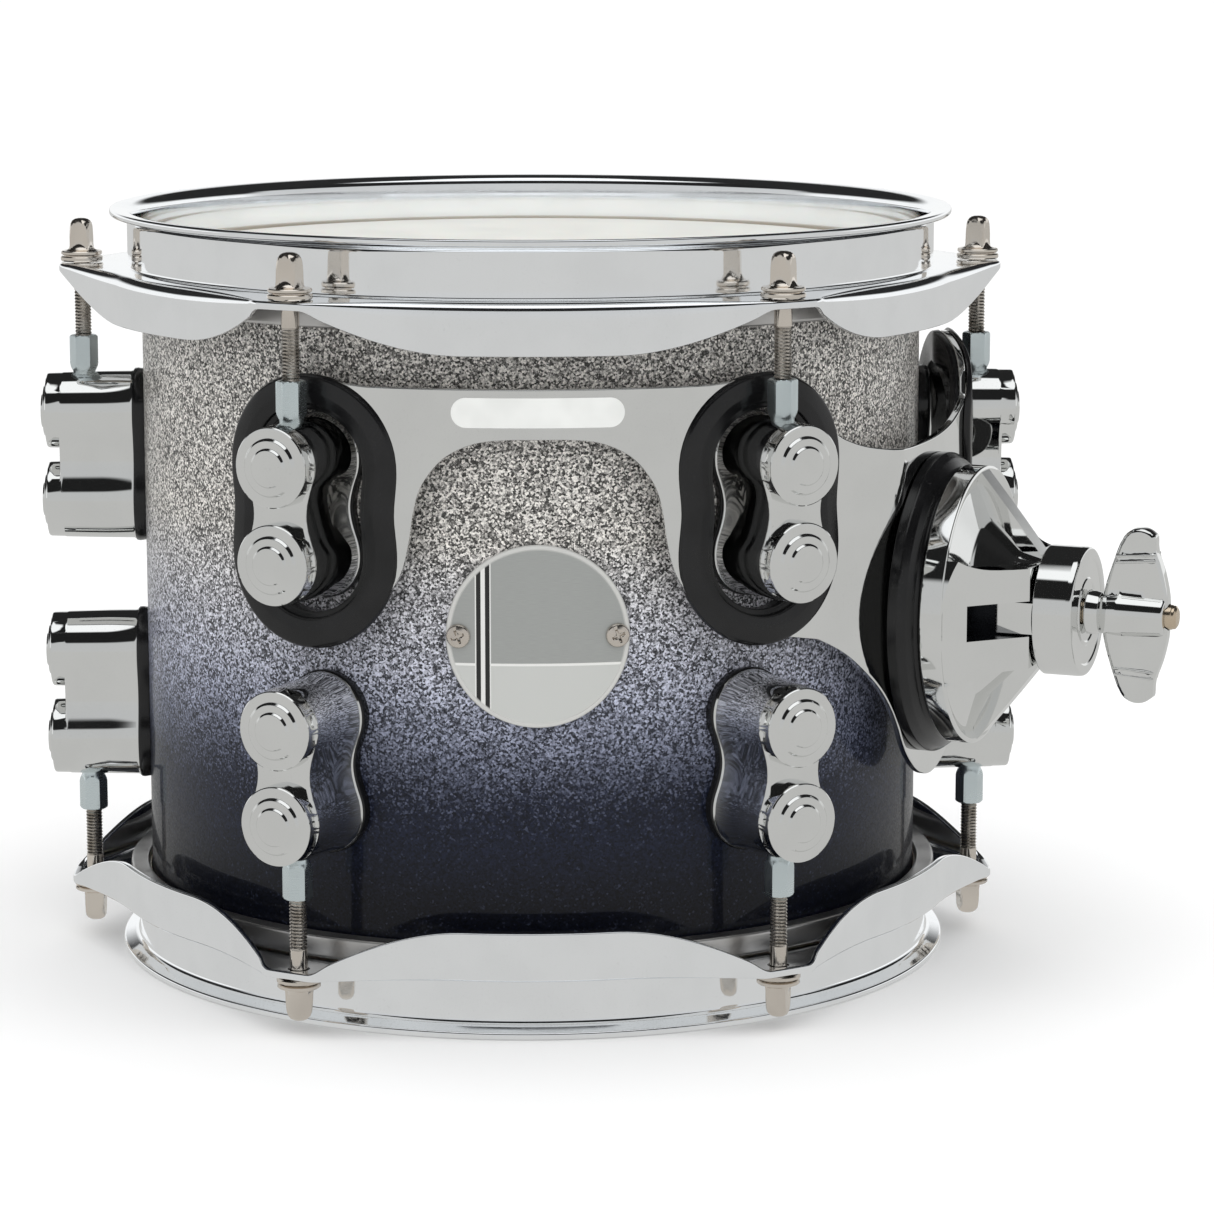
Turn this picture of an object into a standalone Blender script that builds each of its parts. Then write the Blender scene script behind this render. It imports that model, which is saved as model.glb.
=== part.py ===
"""Ten-inch suspended rack tom: shell, two heads, two triple-flanged hoops, twelve lugs with tension
rods, and a side suspension mount with a clamp for an L-arm. Units are metres, +Z is up.

The origin is the centre of the batter head's playing surface. Heights below are counted from the
shell's mid-plane, which hangs under the origin. An azimuth is an angle round the shell, from the front
(-Y) towards the right side (+X).
"""
import math

import bmesh
import bpy
from mathutils import Matrix, Vector

GAP = 0.0003                     # clearance between pieces that touch
THROUGH = 0.6                    # length of a cutter that passes right through

# shell and heads
SHELL_RADIUS = 0.127
SHELL_WALL = 0.0055
SHELL_DEPTH = 0.2124
BEVEL = 0.0024                   # chamfers of the bearing edge
FILM = 0.0004
COLLAR_GAP = 0.0004
COLLAR_DEPTH = 0.0102
RING_STEPS = 48
HALF_DEPTH = SHELL_DEPTH / 2
HEAD_TOP = HALF_DEPTH + GAP + FILM
COLLAR_INNER = SHELL_RADIUS + COLLAR_GAP
COLLAR_OUTER = COLLAR_INNER + FILM + GAP

# flesh hoops
FLESH_WIDTH = 0.0055
FLESH_HEIGHT = 0.0072
FLESH_OUTER = COLLAR_OUTER + FLESH_WIDTH

# tension rods and swivel nuts
ROD_RADIUS = 0.00275
ROD_OFFSET = 0.0196              # from the shell to a rod's axis
ROD_CIRCLE = SHELL_RADIUS + ROD_OFFSET
FLANGE_RADIUS = ROD_RADIUS + 0.00395
FLANGE_HEIGHT = 0.0041
KEY_SIZE = 0.00635
KEY_HEIGHT = 0.0098
NUT_BORE = ROD_RADIUS + GAP
NUT_WALL = 0.00095               # between the bore and a flat
NUT_FLATS = 2 * (NUT_BORE + NUT_WALL)
NUT_LENGTH = 0.0127
NUT_ENTRY = 0.00125              # from a nut's foot to the end of its rod

# hoops
SHEET = 0.002
WALL_CLEARANCE = 0.0012          # between a head's collar and the hoop's wall
SKIRT_CLEARANCE = 0.0051         # between a flesh hoop and the hoop's skirt
WALL_INNER = COLLAR_OUTER + WALL_CLEARANCE
HOOP_WALL_RADIUS = WALL_INNER + SHEET
LIP_WIDTH = 0.0056
HOOP_HEIGHT = 0.0185             # from the step's top face to the lip
STEP_DROP = 0.0029               # from the bearing edge down to the step's top face
STEP_HEIGHT = HALF_DEPTH - STEP_DROP
STEP_UNDER = STEP_HEIGHT - SHEET
SKIRT_RADIUS = FLESH_OUTER + SKIRT_CLEARANCE + SHEET
SKIRT_DROP = 0.0158
EAR_MARGIN = 0.0002              # from a rod's flange to the ear's end
EAR_REACH = ROD_CIRCLE + FLANGE_RADIUS + EAR_MARGIN
EAR_HALF_WIDTH = FLANGE_RADIUS + EAR_MARGIN / 4
EAR_BLEND = 0.046                # length of the curve from an ear's side to the full skirt
EAR_HOLE_RADIUS = ROD_RADIUS + 0.00065
ROD_SEAT = STEP_HEIGHT + GAP

# lugs
LUG_AZIMUTHS = (-150, -90, -30, 30, 90, 150)
TURRET_SPACING = 0.0293
TURRET_RADIUS = 0.01225
TURRET_STEP_RADIUS = TURRET_RADIUS - 0.00355
TURRET_RELIEF = 0.0016           # height of a turret's raised middle
CASING_RADIUS = TURRET_RADIUS + 0.00035
LUG_COVER = 0.0039               # from a nut's flat to the face between the turrets
LUG_WEB_FACE = ROD_CIRCLE + NUT_FLATS / 2 + LUG_COVER
TURRET_TOP = LUG_WEB_FACE + 0.0063
TURRET_FACE = TURRET_TOP - TURRET_RELIEF
LUG_WAIST = TURRET_RADIUS - 0.00305

# suspension plate and its rubber grommets
PLATE_STAND = 0.0102             # from the shell to the plate's outer face
PLATE_OUTER = SHELL_RADIUS + PLATE_STAND
PLATE_THICKNESS = 0.0025
PLATE_LOBES = LUG_AZIMUTHS[2:5]
PLATE_BORDER = 0.0023
GROMMET_TUBE = 0.0045
GROMMET_CLEARANCE = 0.0054       # between a lug and its grommet
GROMMET_HALF_WIDTH = CASING_RADIUS + GROMMET_CLEARANCE + GROMMET_TUBE
GROMMET_CENTRES = TURRET_SPACING / 2 - 0.00175
GROMMET_WAIST = GROMMET_HALF_WIDTH - 0.001
GROMMET_DROP = 0.0011
GROMMET_REACH = GROMMET_CENTRES + GROMMET_HALF_WIDTH + GROMMET_TUBE - GROMMET_DROP
WRAP_STEP = 6                    # degrees between the bends of a wrapped sheet

# heights of the lugs, at their own height unless a shallow shell leaves no room below the flesh hoop
LUG_SETTING = 0.0398
LUG_LIMIT = STEP_UNDER - FLESH_HEIGHT - 2 * GAP - GROMMET_REACH
LUG_HEIGHT = min(LUG_SETTING, LUG_LIMIT)
GROMMET_HEIGHT = LUG_HEIGHT - GROMMET_DROP
NUT_FOOT = LUG_HEIGHT + TURRET_SPACING / 2 + CASING_RADIUS + GAP
ROD_END_HEIGHT = NUT_FOOT + NUT_ENTRY

# side mount
MOUNT_AZIMUTH = 66
MOUNT_HEIGHT = -0.0008
MOUNT_FLAT = PLATE_OUTER + 0.002    # distance of the plate's flat outer face under the mount
FLAT_SPREAD = 13                 # half-angle of that flat, and of its run-out, in degrees
FLAT_RUN_OUT = 11
PAD_RADIUS = 0.0478
PAD_FACE = MOUNT_FLAT + 0.0088
BASE_MARGIN = 0.0036             # from the base's edge to the pad's
BASE_RADIUS = PAD_RADIUS - BASE_MARGIN
PAD_HOLE = BASE_RADIUS - 0.0062
BASE_RIM = PAD_FACE + 0.008
BASE_FLOOR = PAD_FACE + 0.0065
BASE_TOP = PAD_FACE + 0.0292
BOLT_RADIUS = 0.0039
CAP_RADIUS = 0.0205
CAP_THICKNESS = 0.0128
HUB_RADIUS = CAP_RADIUS - 0.0035
BAR_HALF_HEIGHT = 0.0157
RIB_HALF_WIDTH = 0.0045
SOCKET_RADIUS = 0.005
SOCKET_DISTANCE = BASE_TOP - SOCKET_RADIUS - 0.0014
SLOT_HALF_HEIGHT = 0.0055
SLOT_START = BOLT_RADIUS + 0.0086
TONGUE_REACH = 0.0115
SLOT_SPARE = 0.0055              # from a tongue's end to the slot's floor
SLOT_FLOOR = BASE_TOP - TONGUE_REACH - SLOT_SPARE
WING_SEAT = BASE_TOP + CAP_THICKNESS + 2 * GAP
WING_SPAN = 0.0278
WING_NECK = BOLT_RADIUS + 0.0027
WING_HALF_THICKNESS = 0.0033
WING_TOP = WING_SEAT + 0.0259
BOLT_END = WING_TOP + 0.0028

# badge and label
BADGE_RADIUS = 0.028
BADGE_THICKNESS = 0.001
BADGE_HEIGHT = 0.0015
SCREW_HEAD_RADIUS = 0.0037
SCREW_HEAD_HEIGHT = 0.0014
BADGE_SCREW_OFFSET = BADGE_RADIUS - SCREW_HEAD_RADIUS - 0.0002
LABEL_WIDTH = 0.052
LABEL_HEIGHT = 0.009
LABEL_RISE = 0.0318              # above the grommets' height


def clear_scene():
    for obj in list(bpy.data.objects):
        bpy.data.objects.remove(obj, do_unlink=True)


def make_collection(name):
    collection = bpy.data.collections.new(name)
    bpy.context.scene.collection.children.link(collection)
    return collection


clear_scene()
PARTS = make_collection("suspended_rack_tom")
CUTTERS = make_collection("cutters")
MID = bpy.data.objects.new("mid_plane", None)
MID.location = (0, 0, -HEAD_TOP)
PARTS.objects.link(MID)
MID_PLACE = Matrix.Translation(MID.location)


def make_material(name, colour, roughness, metallic):
    material = bpy.data.materials.new(name)
    material.use_nodes = True
    shader = material.node_tree.nodes["Principled BSDF"]
    shader.inputs["Base Color"].default_value = (*colour, 1)
    shader.inputs["Roughness"].default_value = roughness
    shader.inputs["Metallic"].default_value = metallic
    return material


LACQUER = make_material("sparkle_lacquer", (0.42, 0.41, 0.42), 0.2, 0.3)
CHROME = make_material("chrome", (0.80, 0.80, 0.79), 0.06, 1.0)
NICKEL = make_material("nickel", (0.62, 0.57, 0.52), 0.22, 1.0)
ZINC = make_material("zinc", (0.68, 0.74, 0.76), 0.3, 1.0)
HEAD_FILM = make_material("head_film", (0.86, 0.84, 0.80), 0.4, 0.0)
ALUMINIUM = make_material("aluminium", (0.66, 0.66, 0.66), 0.3, 1.0)
RUBBER = make_material("rubber", (0.012, 0.012, 0.013), 0.35, 0.0)
BADGE_METAL = make_material("badge_metal", (0.62, 0.62, 0.60), 0.35, 1.0)
WHITE_VINYL = make_material("white_vinyl", (0.85, 0.85, 0.84), 0.4, 0.0)


def add_object(name, mesh, collection=PARTS):
    obj = bpy.data.objects.new(name, mesh)
    collection.objects.link(obj)
    return obj


def point_outwards(shape):
    bmesh.ops.recalc_face_normals(shape, faces=shape.faces)
    if shape.calc_volume(signed=True) < 0:
        bmesh.ops.reverse_faces(shape, faces=shape.faces)


def settle(obj, smooth_angle=32):
    """Turn an object's evaluated shape into its own plain mesh, with faces pointing out."""
    depsgraph = bpy.context.evaluated_depsgraph_get()
    mesh = bpy.data.meshes.new_from_object(obj.evaluated_get(depsgraph))
    shape = bmesh.new()
    shape.from_mesh(mesh)
    bmesh.ops.remove_doubles(shape, verts=shape.verts, dist=0.000005)
    point_outwards(shape)
    shape.to_mesh(mesh)
    shape.free()
    mesh.shade_smooth()
    mesh.set_sharp_from_angle(angle=math.radians(smooth_angle))
    mesh.name = obj.name
    if obj.type == "CURVE":
        plain = add_object(obj.name + "_mesh", mesh)
        plain.matrix_world = obj.matrix_world
        name = obj.name
        bpy.data.objects.remove(obj, do_unlink=True)
        plain.name = name
        return plain
    obj.modifiers.clear()
    obj.data = mesh
    return obj


def lathe(name, profile, steps, closed=False):
    """Turn a profile of (radius, height) points about Z."""
    mesh = bpy.data.meshes.new(name)
    count = len(profile)
    edges = [(i, i + 1) for i in range(count - 1)]
    if closed:
        edges.append((count - 1, 0))
    mesh.from_pydata([(radius, 0, height) for radius, height in profile], edges, [])
    obj = add_object(name, mesh)
    screw = obj.modifiers.new("turn", "SCREW")
    screw.axis = "Z"
    screw.angle = math.tau
    screw.steps = steps
    screw.render_steps = steps
    screw.use_merge_vertices = True
    screw.merge_threshold = 0.000005
    return settle(obj)


def prism(name, outline, half_depth, collection=PARTS):
    """Extrude a closed outline of (x, y) points by half_depth both ways along Z."""
    mesh = bpy.data.meshes.new(name)
    shape = bmesh.new()
    base = shape.faces.new([shape.verts.new((x, y, -half_depth)) for x, y in outline])
    grown = bmesh.ops.extrude_face_region(shape, geom=[base])
    corners = [item for item in grown["geom"] if isinstance(item, bmesh.types.BMVert)]
    bmesh.ops.translate(shape, verts=corners, vec=(0, 0, 2 * half_depth))
    point_outwards(shape)
    shape.to_mesh(mesh)
    shape.free()
    return add_object(name, mesh, collection)


def cylinder(name, radius, length, segments, collection=CUTTERS):
    mesh = bpy.data.meshes.new(name)
    shape = bmesh.new()
    bmesh.ops.create_cone(shape, cap_ends=True, segments=segments, radius1=radius, radius2=radius, depth=length)
    shape.to_mesh(mesh)
    shape.free()
    return add_object(name, mesh, collection)


def combine(obj, tool, operation):
    """Apply a Boolean with the tool to the object and remove the tool."""
    cut = obj.modifiers.new("cut", "BOOLEAN")
    cut.operation = operation
    cut.solver = "EXACT"
    cut.object = tool
    settle(obj)
    bpy.data.objects.remove(tool, do_unlink=True)
    return obj


def show_outside(obj, azimuth, height, distance=0.0):
    """Stand a piece made in a flat frame (x sideways, y up, z outward) on the drum at an azimuth."""
    angle = math.radians(azimuth)
    spot = Vector((distance * math.sin(angle), -distance * math.cos(angle), height))
    spin = Matrix.Rotation(angle, 4, "Z") @ Matrix.Rotation(math.pi / 2, 4, "X")
    obj.matrix_world = MID_PLACE @ Matrix.Translation(spot) @ spin
    obj.parent = MID
    obj.matrix_parent_inverse = MID_PLACE.inverted()
    return obj


def stand(obj, azimuth=0.0, height=0.0, distance=0.0, flipped=False):
    """Place an upright piece; a flipped piece is its mirror partner below the mid-plane."""
    angle = math.radians(azimuth)
    obj.parent = MID
    obj.location = (distance * math.sin(angle), -distance * math.cos(angle), height)
    obj.rotation_euler = (math.pi if flipped else 0, 0, angle)
    return obj


def paint(obj, material):
    obj.data.materials.clear()
    obj.data.materials.append(material)
    return obj


def arc(centre, radius, first, last, step=20):
    """Points on an arc from the first to the last angle in degrees, about every step degrees."""
    count = max(1, round(abs(last - first) / step))
    points = []
    for i in range(count + 1):
        angle = math.radians(first + (last - first) * i / count)
        points.append((centre[0] + radius * math.cos(angle), centre[1] + radius * math.sin(angle)))
    return points


def peanut(radius, centres, waist, start, step=20):
    """A tall outline of two round lobes centred at +-centres, drawn in to a waist half-width."""
    upper = arc((0, centres), radius, start, 180 - start, step)
    lower = arc((0, -centres), radius, 180 + start, 360 - start, step)
    return upper + [(-waist, 0)] + lower + [(waist, 0)]


def smooth_run(points, spans=2):
    """Points on a smooth run through the given ones, each stretch cut into spans."""
    padded = [points[0]] + list(points) + [points[-1]]
    run = []
    for i in range(1, len(padded) - 2):
        before, start, end, after = (Vector(padded[i + k]) for k in (-1, 0, 1, 2))
        for step in range(spans):
            t = step / spans
            curve = start * 2 + (end - before) * t + (before * 2 - start * 5 + end * 4 - after) * t ** 2
            curve += (start * 3 - before - end * 3 + after) * t ** 3
            run.append(tuple(curve / 2))
    run.append(tuple(points[-1]))
    return run


def plate_radius(azimuth):
    """Outer radius of the suspension plate: round the drum, but flat and further out under the mount."""
    offset = abs(azimuth - MOUNT_AZIMUTH)
    flat = MOUNT_FLAT / math.cos(math.radians(min(offset, FLAT_SPREAD)))
    share = min(1.0, max(0.0, (offset - FLAT_SPREAD) / FLAT_RUN_OUT))
    return flat + (PLATE_OUTER - flat) * share * share * (3 - 2 * share)


def wrapped_sheet(name, outlines, outer_radius, thickness, radius_at=None):
    """A flat sheet with holes, bent round the drum: x becomes arc length and y height."""
    curve = bpy.data.curves.new(name, "CURVE")
    curve.dimensions = "2D"
    curve.fill_mode = "BOTH"
    curve.extrude = thickness / 2
    for outline in outlines:
        spline = curve.splines.new("POLY")
        spline.points.add(len(outline) - 1)
        for point, (x, y) in zip(spline.points, outline):
            point.co = (x, y, 0, 1)
        spline.use_cyclic_u = True
    flat = settle(add_object(name, curve))
    shape = bmesh.new()
    shape.from_mesh(flat.data)
    reach = max(abs(x) for x, y in outlines[0])
    stride = outer_radius * math.radians(WRAP_STEP)
    for i in range(-int(reach / stride) - 1, int(reach / stride) + 2):
        everything = shape.verts[:] + shape.edges[:] + shape.faces[:]
        bmesh.ops.bisect_plane(shape, geom=everything, dist=1e-7, plane_co=(i * stride, 0, 0),
                               plane_no=(1, 0, 0))
    bmesh.ops.remove_doubles(shape, verts=shape.verts, dist=0.00002)
    bmesh.ops.triangulate(shape, faces=shape.faces)
    for vert in shape.verts:
        angle = vert.co.x / outer_radius
        face = radius_at(math.degrees(angle)) if radius_at else outer_radius
        radius = face - thickness / 2 + vert.co.z
        vert.co = (radius * math.sin(angle), -radius * math.cos(angle), vert.co.y)
    point_outwards(shape)
    shape.to_mesh(flat.data)
    shape.free()
    flat.data.shade_smooth()
    flat.data.set_sharp_from_angle(angle=math.radians(32))
    return flat


def make_shell():
    inner = SHELL_RADIUS - SHELL_WALL
    crest = SHELL_RADIUS - BEVEL
    inner_crest = inner + BEVEL
    top = [(inner_crest, HALF_DEPTH), (crest, HALF_DEPTH), (SHELL_RADIUS, HALF_DEPTH - BEVEL)]
    bottom = [(SHELL_RADIUS, BEVEL - HALF_DEPTH), (crest, -HALF_DEPTH), (inner_crest, -HALF_DEPTH)]
    inside = [(inner, BEVEL - HALF_DEPTH), (inner, HALF_DEPTH - BEVEL)]
    stand(paint(lathe("shell", top + bottom + inside, RING_STEPS, closed=True), LACQUER))


def make_heads():
    crest = SHELL_RADIUS - BEVEL
    tail = HALF_DEPTH - COLLAR_DEPTH
    under = HALF_DEPTH + GAP
    outside = COLLAR_INNER + FILM
    profile = [(0, HEAD_TOP), (crest + FILM, HEAD_TOP), (outside - FILM, HEAD_TOP - 0.0017)]
    profile += [(outside, HEAD_TOP - 0.0031), (outside, tail), (COLLAR_INNER, tail)]
    profile += [(COLLAR_INNER, under - 0.0029), (COLLAR_INNER - FILM, under - 0.0016), (crest, under), (0, under)]
    film = lathe("batter_head", profile, RING_STEPS)
    flesh_top = STEP_UNDER - GAP
    ring = [(COLLAR_OUTER, flesh_top), (FLESH_OUTER, flesh_top)]
    ring += [(FLESH_OUTER, flesh_top - FLESH_HEIGHT), (COLLAR_OUTER, flesh_top - FLESH_HEIGHT)]
    flesh = lathe("batter_flesh_hoop", ring, RING_STEPS, closed=True)
    for obj, partner, material in ((film, "resonant_head", HEAD_FILM), (flesh, "resonant_flesh_hoop", ALUMINIUM)):
        stand(paint(obj, material))
        stand(add_object(partner, obj.data), flipped=True)


def hoop_section(offset):
    """Cross-section of the upper hoop at an arc distance from the nearest ear's middle."""
    share = min(1.0, max(0.0, (offset - EAR_HALF_WIDTH) / EAR_BLEND))
    share = share * (2 - share)
    reach = EAR_REACH + (SKIRT_RADIUS - EAR_REACH) * share
    hem = STEP_UNDER - SHEET / 4 - (SKIRT_DROP - SHEET - SHEET / 4) * share
    top = STEP_HEIGHT + HOOP_HEIGHT
    lip = HOOP_WALL_RADIUS + LIP_WIDTH
    outside = [(lip - 0.0008, top), (lip, top - 0.0009), (lip - 0.0013, top - SHEET)]
    outside += [(HOOP_WALL_RADIUS, top - SHEET - 0.0006), (HOOP_WALL_RADIUS, STEP_HEIGHT)]
    outside += [(reach - 0.0008, STEP_HEIGHT), (reach, STEP_HEIGHT - 0.001), (reach, hem), (reach - SHEET, hem)]
    inside = [(reach - SHEET, STEP_UNDER), (WALL_INNER, STEP_UNDER), (WALL_INNER, top - 0.0012)]
    return outside + inside + [(WALL_INNER + 0.0012, top)]


def make_hoops():
    stops = [0, EAR_HALF_WIDTH] + [EAR_HALF_WIDTH + EAR_BLEND * share for share in (0.1, 0.25, 0.45, 0.7, 1)]
    half_pitch = math.pi / len(LUG_AZIMUTHS)
    turns = [stop / ROD_CIRCLE for stop in stops if stop / ROD_CIRCLE < half_pitch * 0.95]
    turns += [(turns[-1] + half_pitch) / 2, half_pitch]
    shape = bmesh.new()
    sections = []
    for azimuth in LUG_AZIMUTHS:
        offsets = [-turn for turn in reversed(turns[1:-1])] + turns
        for turn in offsets:
            angle = math.radians(azimuth) + turn
            points = hoop_section(abs(turn) * ROD_CIRCLE)
            sections.append([shape.verts.new((r * math.sin(angle), -r * math.cos(angle), z)) for r, z in points])
    count = len(sections[0])
    for i, section in enumerate(sections):
        following = sections[(i + 1) % len(sections)]
        for k in range(count):
            after = (k + 1) % count
            shape.faces.new((section[k], following[k], following[after], section[after]))
    bmesh.ops.recalc_face_normals(shape, faces=shape.faces)
    mesh = bpy.data.meshes.new("hoop")
    shape.to_mesh(mesh)
    shape.free()
    hoop = add_object("batter_hoop", mesh)
    holes = bmesh.new()
    for azimuth in LUG_AZIMUTHS:
        angle = math.radians(azimuth)
        spot = Matrix.Translation((ROD_CIRCLE * math.sin(angle), -ROD_CIRCLE * math.cos(angle), STEP_HEIGHT))
        bmesh.ops.create_cone(holes, cap_ends=True, segments=12, radius1=EAR_HOLE_RADIUS,
                              radius2=EAR_HOLE_RADIUS, depth=0.01, matrix=spot)
    hole_mesh = bpy.data.meshes.new("rod_holes")
    holes.to_mesh(hole_mesh)
    holes.free()
    combine(hoop, add_object("rod_holes", hole_mesh, CUTTERS), "DIFFERENCE")
    stand(paint(hoop, CHROME))
    stand(add_object("resonant_hoop", hoop.data), flipped=True)


def make_lug_mesh():
    depth = LUG_WEB_FACE - SHELL_RADIUS - GAP
    outline = peanut(CASING_RADIUS, TURRET_SPACING / 2, LUG_WAIST, -30, 30)
    lug = prism("lug", outline, depth / 2)
    lug.location.z = LUG_WEB_FACE - depth / 2
    for side in (-1, 1):
        profile = [(0, TURRET_TOP), (TURRET_STEP_RADIUS, TURRET_TOP), (TURRET_RADIUS, TURRET_FACE)]
        profile += [(TURRET_RADIUS, LUG_WEB_FACE - 0.002), (0, LUG_WEB_FACE - 0.002)]
        turret = lathe("turret", profile, 12)
        turret.location = (0, side * TURRET_SPACING / 2, -lug.location.z)
        turret.parent = lug
        bpy.context.view_layer.update()
        combine(lug, turret, "UNION")
    lug.data.transform(Matrix.Translation(lug.location))
    mesh = lug.data
    bpy.data.objects.remove(lug, do_unlink=True)
    return mesh


def make_nut_mesh():
    nut = cylinder("nut", NUT_FLATS / 2 / math.cos(math.pi / 6), NUT_LENGTH, 6)
    combine(nut, cylinder("nut_bore", NUT_BORE, NUT_LENGTH * 2, 8), "DIFFERENCE")
    mesh = nut.data
    bpy.data.objects.remove(nut, do_unlink=True)
    return mesh


def make_rod_mesh():
    shaft_end = ROD_END_HEIGHT - ROD_SEAT
    profile = [(0, FLANGE_HEIGHT), (FLANGE_RADIUS, FLANGE_HEIGHT), (FLANGE_RADIUS, 0), (ROD_RADIUS, 0)]
    profile += [(ROD_RADIUS, shaft_end), (0, shaft_end)]
    rod = lathe("rod", profile, 10)
    key = cylinder("key_head", KEY_SIZE / math.sqrt(2), KEY_HEIGHT + 0.001, 4)
    key.location.z = FLANGE_HEIGHT + KEY_HEIGHT / 2 - 0.0005
    key.rotation_euler.z = math.pi / 4
    bpy.context.view_layer.update()
    combine(rod, key, "UNION")
    mesh = rod.data
    bpy.data.objects.remove(rod, do_unlink=True)
    return mesh


def make_tension_hardware():
    lug_mesh = make_lug_mesh()
    nut_mesh = make_nut_mesh()
    rod_mesh = make_rod_mesh()
    nut_height = NUT_FOOT + NUT_LENGTH / 2
    for mesh, material in ((lug_mesh, CHROME), (nut_mesh, ZINC), (rod_mesh, NICKEL)):
        mesh.materials.clear()
        mesh.materials.append(material)
    for index, azimuth in enumerate(LUG_AZIMUTHS, start=1):
        for side, sign in (("top", 1), ("bottom", -1)):
            label = f"{side}_{index}"
            show_outside(add_object("lug_" + label, lug_mesh), azimuth, sign * LUG_HEIGHT)
            nut = add_object("lug_nut_" + label, nut_mesh)
            stand(nut, azimuth, sign * nut_height, ROD_CIRCLE)
            rod = add_object("tension_rod_" + label, rod_mesh)
            stand(rod, azimuth, sign * ROD_SEAT, ROD_CIRCLE, flipped=sign < 0)


def plate_outline():
    """Outline of the suspension plate, as (azimuth, height over the grommets' centre), anticlockwise."""
    lobe_radius = GROMMET_HALF_WIDTH + GROMMET_TUBE + PLATE_BORDER
    centres = GROMMET_CENTRES - PLATE_BORDER / 2

    def lobe(azimuth, first, last):
        side = 1 if math.sin(math.radians((first + last) / 2)) > 0 else -1
        middle = PLATE_OUTER * math.radians(azimuth)
        return arc((middle, side * centres), lobe_radius, first, last)

    def along(points):
        return smooth_run([(PLATE_OUTER * math.radians(azimuth), height) for azimuth, height in points])

    def round_mount(points):
        """A smooth run round the mount, through points given in pad radii from its centre."""
        middle = PLATE_OUTER * math.radians(MOUNT_AZIMUTH)
        rise = MOUNT_HEIGHT - GROMMET_HEIGHT
        return smooth_run([(middle + PAD_RADIUS * across, rise + PAD_RADIUS * up) for across, up in points])

    inner_edge = [(20, -0.027), (17.6, -0.018), (16.5, -0.009), (15.9, 0), (15.1, 0.0075), (13.6, 0.0135),
                  (11.3, 0.0188), (7.6, 0.0226), (3.5, 0.0236)]
    left_edge = [(-azimuth, height) for azimuth, height in inner_edge]
    tail = [(-1.353, -0.063), (-1.087, -0.199), (-0.862, -0.418), (-0.731, -0.607), (-0.626, -0.795),
            (-0.471, -0.969), (-0.24, -1.115), (0.01, -1.172), (0.26, -1.115), (0.471, -0.969),
            (0.601, -0.795), (0.691, -0.607), (0.751, -0.418), (0.812, -0.251), (0.932, -0.105)]
    valley = [(79.2, 0.0225), (76.3, 0.0185), (72.5, 0.0154), (67, 0.0136), (60, 0.0131), (53, 0.0136),
              (47.5, 0.0154), (43.7, 0.0185), (40.8, 0.0225)]
    first, second, third = PLATE_LOBES
    outline = lobe(first, 80, 180) + lobe(first, 180, 310) + along(left_edge)
    outline += along(inner_edge[::-1]) + lobe(second, 235, 285) + round_mount(tail)
    outline += lobe(third, 295, 360) + lobe(third, 0, 140) + along(valley) + lobe(second, 40, 100)
    crest = centres + lobe_radius - PLATE_BORDER
    outline += [(PLATE_OUTER * math.radians(azimuth), crest) for azimuth in (22, 0, -22)]
    return outline


def make_plate_and_grommets():
    holes = []
    hole_offset = GROMMET_TUBE + GAP
    for azimuth in PLATE_LOBES:
        middle = PLATE_OUTER * math.radians(azimuth)
        ring = peanut(GROMMET_HALF_WIDTH + hole_offset, GROMMET_CENTRES, GROMMET_WAIST + hole_offset, 12)
        holes.append([(middle + x, y) for x, y in ring])
    plate = wrapped_sheet("mount_plate", [plate_outline()] + holes, PLATE_OUTER, PLATE_THICKNESS, plate_radius)
    stand(paint(plate, CHROME), height=GROMMET_HEIGHT)
    for index, azimuth in enumerate(PLATE_LOBES, start=1):
        ring = grommet_ring(f"grommet_{index}", azimuth, GROMMET_TUBE)
        stand(paint(ring, RUBBER), height=GROMMET_HEIGHT)


def grommet_ring(name, azimuth, tube):
    curve = bpy.data.curves.new(name, "CURVE")
    curve.dimensions = "3D"
    curve.bevel_depth = tube
    curve.bevel_resolution = 2
    path = peanut(GROMMET_HALF_WIDTH, GROMMET_CENTRES, GROMMET_WAIST, 12)
    spline = curve.splines.new("POLY")
    spline.points.add(len(path) - 1)
    for point, (x, y) in zip(spline.points, path):
        angle = math.radians(azimuth) + x / PLATE_OUTER
        radius = plate_radius(math.degrees(angle)) - PLATE_THICKNESS / 2
        point.co = (radius * math.sin(angle), -radius * math.cos(angle), y, 1)
    spline.use_cyclic_u = True
    return settle(add_object(name, curve))


def make_pad():
    back = MOUNT_FLAT + GAP
    pad = cylinder("mount_pad", PAD_RADIUS, PAD_FACE - back, 32, PARTS)
    pad.data.transform(Matrix.Translation((0, 0, (PAD_FACE + back) / 2)))
    combine(pad, cylinder("pad_hole", PAD_HOLE, THROUGH, 24), "DIFFERENCE")
    show_outside(paint(pad, RUBBER), MOUNT_AZIMUTH, MOUNT_HEIGHT)
    relief = grommet_ring("grommet_relief", PLATE_LOBES[-1], GROMMET_TUBE + 2 * GAP)
    stand(relief, height=GROMMET_HEIGHT)
    bpy.context.view_layer.update()
    combine(pad, relief, "DIFFERENCE")


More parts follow.
